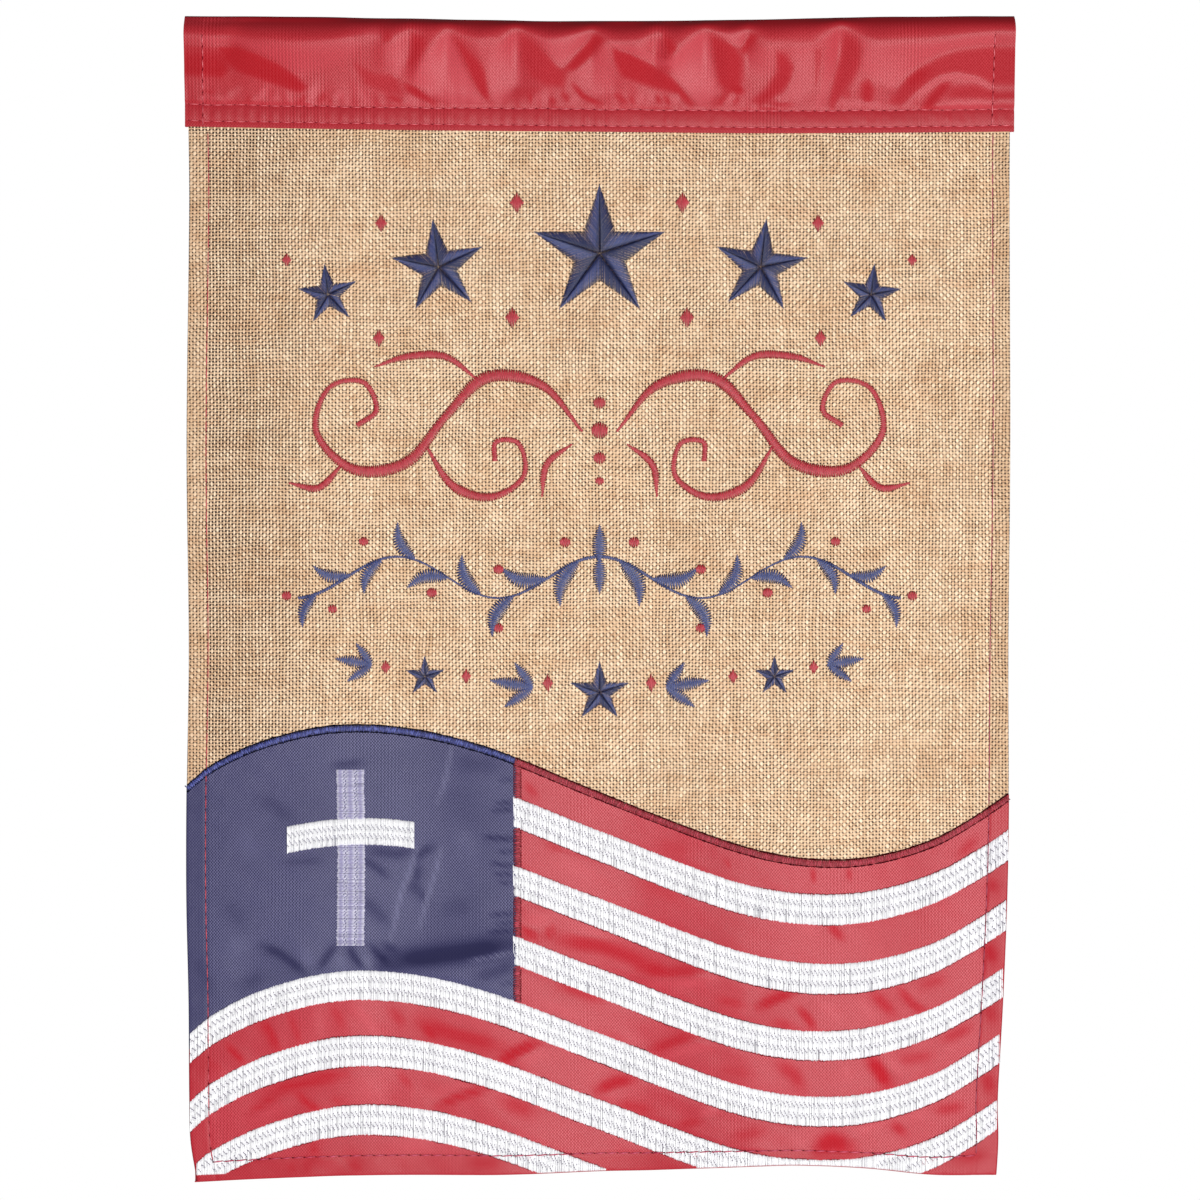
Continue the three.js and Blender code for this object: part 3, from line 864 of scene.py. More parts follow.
# ------------------------------------------------------------------ canton and field
# Slopes of the nylon, drawn in by the stitching: a stroke tilts down and right where its tilt is above 0.
NYLON_SLOPES = [
    dict(line=[(-125, -655), (-110, -700), (-105, -745)], tilt=-0.2, wide=24),
    dict(line=[(-160, -800), (-90, -790)], tilt=-0.18, wide=20),
    dict(line=[(-184, -814.3), (-171.8, -816.1), (-145.7, -813.5), (-112.7, -809.1), (-74.4, -803)], tilt=-1.2, wide=9.5),
    dict(line=[(-196.2, -822.1), (-171.8, -824.8)], tilt=-0.41, wide=4.5),
    dict(line=[(-114.4, -816.9), (-90, -812.6), (-74.4, -809.1)], tilt=1.00, wide=1.4),
    dict(line=[(-107.4, -831.7), (-88.3, -826.5), (-74.4, -820.4)], tilt=-0.49, wide=5.6),
    dict(line=[(-293.6, -803.9), (-278, -810.8), (-266.7, -818.7), (-255.3, -829.1)], tilt=-0.82, wide=4.5),
    dict(line=[(-258.8, -806.5), (-250.1, -822.1)], tilt=0.41, wide=4.5),
    dict(line=[(-243.2, -823.9), (-236.2, -812.6), (-229.2, -803)], tilt=-0.66, wide=3.4),
    dict(line=[(-217.9, -803.9), (-213.6, -813.5), (-205.8, -823)], tilt=-0.74, wide=3.4),
    dict(line=[(-198.8, -803), (-192.7, -811.7), (-184, -818.7)], tilt=-0.66, wide=3.4),
    dict(line=[(-227.5, -813.5), (-221.4, -823.9)], tilt=0.41, wide=3.4),
    dict(line=[(-204.9, -811.7), (-198.8, -823)], tilt=0.49, wide=3.0),
    dict(line=[(-187.5, -803), (-176.2, -809.1)], tilt=-0.41, wide=3.4),
    dict(line=[(-204.9, -729.1), (-195.3, -735.1), (-184, -743.9)], tilt=-0.57, wide=3.4),
    dict(line=[(-201.4, -721.2), (-175.3, -724.7), (-162.3, -721.2)], tilt=-0.49, wide=4.5),
    dict(line=[(-157.9, -717.8), (-162.3, -729.9), (-166.6, -743.9), (-171.8, -756), (-175.3, -770), (-178.8, -789.1), (-182.3, -799.5)], tilt=1.10, wide=1.3),
    dict(line=[(-158.8, -728.2), (-152.7, -722.1), (-145.7, -718.6)], tilt=-0.57, wide=3.4),
    dict(line=[(-157, -735.1), (-159.6, -749.1)], tilt=-0.49, wide=3.4),
    dict(line=[(-128.3, -627.3), (-131.8, -649.9), (-136.2, -667.3), (-141.4, -679.5)], tilt=0.80, wide=1.3),
    dict(line=[(-137.9, -719.5), (-142.2, -738.6), (-147.5, -756), (-151.8, -770), (-157, -789.1)], tilt=0.90, wide=1.3),
    dict(line=[(-167.5, -750.8), (-157.9, -756), (-150.1, -765.6)], tilt=-0.41, wide=4.5),
    dict(line=[(-204.9, -763), (-195.3, -773.4), (-184, -783.9)], tilt=-0.41, wide=5.6),
    dict(line=[(-90, -680.3), (-74.4, -679.5)], tilt=-0.70, wide=1.4),
    dict(line=[(-93.5, -687.3), (-74.4, -685.6)], tilt=-0.70, wide=1.4),
    dict(line=[(-100.5, -709.9), (-74.4, -711.7)], tilt=-0.80, wide=1.6),
    dict(line=[(-88.3, -723), (-74.4, -722.1)], tilt=-0.60, wide=1.4),
    dict(line=[(-95.3, -732.5), (-74.4, -735.1)], tilt=-0.70, wide=1.6),
    dict(line=[(-91.8, -742.1), (-74.4, -742.1)], tilt=-0.70, wide=1.4),
    dict(line=[(-88.3, -749.1), (-74.4, -749.9)], tilt=-0.60, wide=1.4),
    dict(line=[(-95.3, -777.8), (-74.4, -776)], tilt=-0.70, wide=1.6),
    dict(line=[(-90, -785.6), (-74.4, -783.9)], tilt=-0.60, wide=1.4),
    dict(line=[(-97, -792.6), (-74.4, -790.8)], tilt=-0.70, wide=1.7),
    dict(line=[(-86.6, -660.3), (-74.4, -659.5)], tilt=-0.50, wide=1.4),
    dict(line=[(-86.6, -837.8), (-74.4, -835.2)], tilt=-0.50, wide=1.4),
    dict(line=[(-295.4, -676), (-282.3, -682.1), (-267.5, -694.3)], tilt=-0.33, wide=6.8),
    dict(line=[(-231.9, -647.3), (-206.6, -644.7)], tilt=-0.41, wide=3.4),
    dict(line=[(-275.4, -731.7), (-241.4, -729.9)], tilt=-0.33, wide=3.4),
    dict(line=[(-124.8, -641.2), (-110.9, -646.4), (-84.8, -648.1)], tilt=-0.29, wide=9.1),
    dict(line=[(-353.7, -815.2), (-335.4, -843)], tilt=-0.33, wide=5.6),
    dict(line=[(-308.4, -838.7), (-293.6, -830)], tilt=-0.33, wide=6.8),
    dict(line=[(-325.8, -764.7), (-308.4, -786.5)], tilt=-0.25, wide=9.1),
    dict(line=[(-312.8, -703.8), (-295.4, -729.9)], tilt=0.25, wide=9.1),
    dict(line=[(-121.4, -703.8), (-108.3, -729.9)], tilt=0.25, wide=9.1),
    dict(line=[(-138.8, -773.4), (-112.7, -769.1)], tilt=-0.25, wide=9.1),
    dict(line=[(-321.5, -799.5), (-308.4, -812.6)], tilt=0.25, wide=10.1),
    dict(line=[(-324.1, -890), (-316.2, -898.7), (-309.3, -905.7)], tilt=-0.82, wide=3.4),
    dict(line=[(-342.3, -903.9), (-330.2, -912.6)], tilt=-0.41, wide=4.5),
    dict(line=[(-293.6, -869.1), (-284.1, -879.6), (-279.7, -895.2)], tilt=-0.74, wide=6.8),
    dict(line=[(-269.3, -864.8), (-264, -877.8), (-260.6, -888.3)], tilt=-0.49, wide=3.4),
    dict(line=[(-231.9, -857), (-222.3, -874.4)], tilt=-0.41, wide=4.5),
    dict(line=[(-284.9, -867.4), (-272.7, -891.8)], tilt=0.57, wide=3.4),
    dict(line=[(-213.6, -855.2), (-201.4, -869.1), (-191, -883)], tilt=0.57, wide=4.5),
    dict(line=[(-248.4, -857), (-241.4, -872.6), (-243.2, -883)], tilt=0.33, wide=4.5),
    dict(line=[(-180.5, -860.4), (-170.1, -872.6)], tilt=-0.41, wide=4.5),
    dict(line=[(-156.2, -870.9), (-134.4, -878.7), (-104, -886.5), (-86.6, -892.6)], tilt=-0.66, wide=7.9),
    dict(line=[(-152.7, -875.2), (-144, -883.9)], tilt=-0.49, wide=3.4),
    dict(line=[(-87.4, -906.5), (-73.5, -897), (-54.4, -888.3)], tilt=-0.98, wide=3.9),
    dict(line=[(-69.2, -905.7), (-47.4, -895.2)], tilt=0.33, wide=3.4),
    dict(line=[(-130.1, -864.8), (-95.3, -875.2)], tilt=0.25, wide=9.1),
    dict(line=[(-288.4, -932.6), (-269.3, -925.7), (-243.2, -919.6), (-221.4, -915.2)], tilt=-0.74, wide=5.6),
    dict(line=[(-305.8, -952.6), (-293.6, -943.1), (-281.4, -937)], tilt=-0.66, wide=3.4),
    dict(line=[(-262.3, -933.5), (-251.9, -942.2), (-243.2, -946.6)], tilt=-0.82, wide=3.6),
    dict(line=[(-231.9, -937.9), (-220.5, -941.3)], tilt=-0.41, wide=3.4),
    dict(line=[(-312.8, -956.1), (-293.6, -950), (-267.5, -941.3)], tilt=0.33, wide=4.5),
    dict(line=[(-210.1, -923.1), (-180.5, -937)], tilt=0.33, wide=9.1),
    dict(line=[(-173.6, -916.1), (-164, -926.5)], tilt=-0.41, wide=3.4),
    dict(line=[(-140.5, -944), (-121.4, -934.4), (-98.7, -927.4)], tilt=-0.74, wide=3.9),
    dict(line=[(-82.2, -939.6), (-58.7, -948.3)], tilt=-0.41, wide=6.8),
    dict(line=[(-149.2, -935.2), (-130.1, -928.3), (-105.7, -923.1)], tilt=0.41, wide=4.5),
    dict(line=[(-187.5, -931.8), (-173.6, -938.7)], tilt=-0.33, wide=3.4),
    dict(line=[(-347.6, -956.1), (-330.2, -949.2)], tilt=0.33, wide=5.6),
    dict(line=[(-343.2, -938.7), (-325.8, -935.2)], tilt=-0.41, wide=5.6),
    dict(line=[(-250.1, -975.3), (-246.6, -985.7)], tilt=-0.57, wide=4.5),
    dict(line=[(-271, -993.5), (-264, -1001.4)], tilt=-0.41, wide=5.6),
    dict(line=[(-217.1, -990.9), (-206.6, -999.6)], tilt=-0.41, wide=5.6),
    dict(line=[(-112.7, -992.7), (-86.6, -993.5)], tilt=-0.33, wide=5.6),
    dict(line=[(-253.6, -990.9), (-255.3, -1000.5)], tilt=-0.41, wide=4.5),
    dict(line=[(-238.8, -993.5), (-225.8, -996.1)], tilt=0.33, wide=5.6),
    dict(line=[(-173.6, -977.9), (-147.5, -980.5)], tilt=0.33, wide=6.8),
    dict(line=[(184.9, -736.9), (185.7, -748.2)], tilt=-0.50, wide=1.7),
    dict(line=[(217.1, -736.9), (215.3, -746.5)], tilt=-0.50, wide=1.7),
    dict(line=[(109.2, -728.2), (111.8, -735.1)], tilt=-0.40, wide=1.7),
    dict(line=[(-44.8, -716.9), (-34.4, -721.2)], tilt=-0.25, wide=3.4),
    dict(line=[(-63.9, -663.8), (-55.2, -674.2)], tilt=-0.33, wide=3.4),
    dict(line=[(52.6, -717.8), (78.7, -721.2)], tilt=-0.25, wide=6.8),
    dict(line=[(199.7, -785.6), (210.1, -796.9)], tilt=-0.57, wide=3.4),
    dict(line=[(174.4, -780.4), (184.9, -792.6)], tilt=0.33, wide=4.5),
    dict(line=[(261.4, -764.7), (296.2, -747.3)], tilt=-0.33, wide=5.6),
    dict(line=[(35.2, -747.3), (70, -764.7)], tilt=-0.25, wide=6.8),
    dict(line=[(-34.4, -731.7), (0.4, -747.3)], tilt=0.25, wide=6.8),
    dict(line=[(313.6, -726.5), (326.7, -712.5)], tilt=-0.33, wide=4.5),
    dict(line=[(-66.6, -789.1), (-54.4, -797.8)], tilt=-0.57, wide=3.4),
    dict(line=[(-46.5, -797.8), (-40.5, -788.2)], tilt=-0.49, wide=3.4),
    dict(line=[(-34.4, -799.5), (0.4, -804.8), (35.2, -817.8), (49.2, -822.1)], tilt=-0.66, wide=6.8),
    dict(line=[(-62.2, -783), (-44.8, -779.5)], tilt=0.41, wide=4.5),
    dict(line=[(-21.3, -790.8), (9.1, -796)], tilt=0.33, wide=4.5),
    dict(line=[(35.2, -825.6), (61.3, -828.2), (89.2, -824.8)], tilt=-0.66, wide=5.6),
    dict(line=[(37, -839.5), (70, -835.2), (90.9, -839.5)], tilt=0.49, wide=3.4),
    dict(line=[(59.6, -844.8), (87.4, -833.5), (115.3, -830)], tilt=0.41, wide=3.4),
    dict(line=[(137.9, -857), (151.8, -850), (167.5, -843.9)], tilt=-0.82, wide=3.9),
    dict(line=[(103.1, -850.9), (124, -855.2)], tilt=-0.49, wide=4.5),
    dict(line=[(173.6, -858.7), (181.4, -867.4), (185.7, -875.2)], tilt=-0.66, wide=3.4),
    dict(line=[(150.9, -870), (167.5, -874.4)], tilt=-0.41, wide=4.5),
    dict(line=[(191.8, -851.7), (209.2, -869.1)], tilt=0.41, wide=4.5),
    dict(line=[(238.8, -846.5), (254.5, -862.2)], tilt=-0.57, wide=4.5),
    dict(line=[(261.4, -842.2), (271.9, -855.2), (284.9, -863)], tilt=-0.57, wide=3.4),
    dict(line=[(281.4, -839.5), (298, -833.5)], tilt=-0.33, wide=4.5),
    dict(line=[(226.6, -851.7), (237.1, -865.6)], tilt=0.41, wide=3.4),
    dict(line=[(-34.4, -838.7), (0.4, -851.7)], tilt=-0.41, wide=4.5),
    dict(line=[(-51.8, -851.7), (-17, -867.4)], tilt=0.33, wide=5.6),
    dict(line=[(45.7, -896.1), (66.6, -887.4), (80.5, -882.2)], tilt=-0.74, wide=4.5),
    dict(line=[(50.9, -902.2), (87.4, -892.6), (103.1, -890.9)], tilt=0.49, wide=3.4),
    dict(line=[(156.2, -907.4), (169.2, -916.1), (175.3, -926.5)], tilt=-0.49, wide=5.6),
    dict(line=[(236.2, -903.1), (244, -914.4), (250.1, -924.8)], tilt=-1.07, wide=5.2),
    dict(line=[(252.7, -902.2), (262.3, -917.9)], tilt=0.49, wide=3.4),
    dict(line=[(212.7, -907.4), (218.8, -923.1)], tilt=0.33, wide=3.4),
    dict(line=[(261.4, -904.8), (289.3, -899.6)], tilt=-0.33, wide=4.5),
    dict(line=[(104.8, -910.9), (130.9, -916.1)], tilt=-0.33, wide=5.6),
    dict(line=[(17.8, -882.2), (35.2, -888.3)], tilt=0.33, wide=5.6),
    dict(line=[(300.6, -886.5), (322.3, -876.1)], tilt=-0.41, wide=4.5),
    dict(line=[(-1.3, -930.9), (13.5, -923.9), (28.3, -921.3)], tilt=-0.82, wide=4.5),
    dict(line=[(16.1, -943.1), (45.7, -948.3)], tilt=-0.49, wide=5.6),
    dict(line=[(0.4, -942.2), (16.1, -935.2)], tilt=0.33, wide=4.5),
    dict(line=[(68.3, -961.4), (89.2, -955.3)], tilt=-0.49, wide=4.5),
    dict(line=[(85.7, -952.6), (106.6, -943.1)], tilt=0.49, wide=3.9),
    dict(line=[(116.1, -970), (141.4, -964.8)], tilt=-0.33, wide=5.6),
    dict(line=[(190.1, -980.5), (201.4, -973.5), (215.3, -978.8)], tilt=-0.98, wide=7.4),
    dict(line=[(256.2, -959.6), (264, -967.4)], tilt=-0.57, wide=3.9),
    dict(line=[(224.9, -965.7), (249.3, -956.1)], tilt=0.41, wide=4.5),
    dict(line=[(294.5, -948.3), (315.4, -944.8)], tilt=-0.41, wide=4.5),
    dict(line=[(165.7, -969.2), (179.7, -978.8)], tilt=0.33, wide=4.5),
    dict(line=[(270.1, -947.4), (283.2, -954.4)], tilt=0.33, wide=5.6),
    dict(line=[(338, -803.9), (343.2, -818.7)], tilt=-0.66, wide=5.6),
    dict(line=[(338, -856.1), (343.2, -870.9)], tilt=-0.41, wide=5.6),
    dict(line=[(336.3, -917), (341.5, -931.8)], tilt=-0.49, wide=5.6),
    dict(line=[(339.7, -747.3), (345, -757.8)], tilt=-0.41, wide=5.6),
    dict(line=[(326.7, -738.6), (335.4, -747.3)], tilt=0.41, wide=3.4),
    dict(line=[(313.6, -990.9), (335.4, -986.6)], tilt=-0.33, wide=5.6),
]
nylon_creased = Creased((-362, -1014), (360, -604), 1.6, NYLON_SLOPES, 0.5, 14)
nylon_wave = ripples(11, 18, 60)
nylon_fine = ripples(12, 8, 16)


def stripe_pull(x, z):
    """How much stitching lies here: 1 on a stripe, 0 between the stripes."""
    best = 0.0
    for k in range(1, 7):
        d = np.abs(z - stripe_middle(k, x)) - STRIPE_HALF[k - 1]
        start = CANTON_EDGE if k <= 3 else -400
        on = (1 - ease(d / 3.0)) * (x > start)
        best = np.maximum(best, on)
    return best


def nylon_relief(x, z):
    """How far the nylon stands proud: creases and small puckers, which the stitching holds flat."""
    pull = stripe_pull(x, z)
    y = 0.55 + nylon_creased(x, z) + 0.28 * nylon_wave(x, z) + 0.1 * nylon_fine(x, z)
    # small draws beside the border and the stripes' edges
    border = np.exp(-np.clip(wave_edge(x) - z - 5, 0, None) / 7.0)
    y = y + 0.16 * border * np.sin(2 * np.pi * x / 11.0 + 2 * nylon_wave(z, x))
    edge = np.clip(-0.35 + seam_groove(x, z, 1.0, 1.7), 0, 1)
    y = y * (1 - 0.8 * pull) * (1 - 0.6 * edge)
    y = np.where(y < 0, -0.5 * (1 - np.exp(y)), y)
    return y + 0.45 - seam_groove(x, z, 0.2, 1.2) + 0.15 * hem_share(x, z)


def nylon_face(x, z):
    return hang(x, z) - 1.3 - nylon_relief(x, z)


def nylon_sheet(name, columns, rows, covers, material, node):
    x, z = settle(columns, rows)
    turn = edge_round(x, z, 1.1, 0.8)
    face = nylon_face(x, z) + turn
    front = stack(x, face, z)
    back = stack(x, np.minimum(face + 0.42, hang(x, z) - 0.79 + 0 * face), z)
    # the creases' tilt, stored per point, paints highlight and shade into the cloth's colour, more strongly on the
    # canton
    o = solid_of(
        name,
        front,
        back,
        covers(x, z),
        values={"hem": hem_share(x, z), "painted_sheen": nylon_creased.painted_sheen(x, z) * (1.3 if node == "canton" else 1.1)},
        sharp=60,
    )
    o.data.materials.append(material)
    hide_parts(node)
    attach(o, "root")
    return o


def make_nylon():
    fine = (0, 0.5, 1.2, 3.2, 6.4, 9.6, 12.8, 14.8, 16.0, 17.0, 18.0, 19.4, 22)
    count = 92
    left = [lambda z, o=o: left_edge(z) + o for o in fine]
    for k in range(1, count + 1):
        s = k / count
        left.append(
            lambda z, s=s: (left_edge(z) + 22) * (1 - s) + (CANTON_RIGHT - 0.2) * s
        )
    upper = []
    count = 76
    for k in range(count + 1):
        s = k / count
        upper.append(
            lambda x, s=s: wave_edge(x) * (1 - s) + (canton_foot(x) + 0.2) * s
        )
    nylon_sheet(
        "canton_cloth",
        left,
        upper,
        lambda x, z: None,
        NAVY_NYLON,
        "canton",
    )
    # field: an L round the canton
    columns = [lambda z, o=o: left_edge(z) + o for o in fine]
    n_left = 72
    for k in range(1, n_left + 1):
        s = k / n_left
        columns.append(
            lambda z, s=s: (left_edge(z) + 22) * (1 - s) + (CANTON_RIGHT + 0.2) * s
        )
    at_canton = len(columns) - 1
    n_right = 104
    for k in range(1, n_right + 1):
        s = k / n_right
        columns.append(
            lambda z, s=s: (CANTON_RIGHT + 0.2) * (1 - s) + (right_edge(z) - 22) * s
        )
    columns += [lambda z, o=o: right_edge(z) - o for o in reversed(fine[:-1])]
    rows = []
    n_upper = 60
    for k in range(n_upper + 1):
        s = k / n_upper
        rows.append(
            lambda x, s=s: wave_edge(x) * (1 - s) + (canton_foot(x) - 0.2) * s
        )
    foot = (0, 0.5, 1.2, 3.2, 6.4, 9.4, 12.0, 13.4, 14.6, 16.0, 17.4, 19.4, 23)
    n_lower = 26
    for k in range(1, n_lower + 1):
        s = k / n_lower
        rows.append(
            lambda x, s=s: (canton_foot(x) - 0.2) * (1 - s) + (foot_edge(x) + 23) * s
        )
    rows += [lambda x, o=o: foot_edge(x) + o for o in reversed(foot[:-1])]
    covers = np.ones((len(rows) - 1, len(columns) - 1), bool)
    covers[:n_upper, :at_canton] = False
    nylon_sheet(
        "field_cloth",
        columns,
        rows,
        lambda x, z: covers,
        RED_NYLON,
        "field",
    )


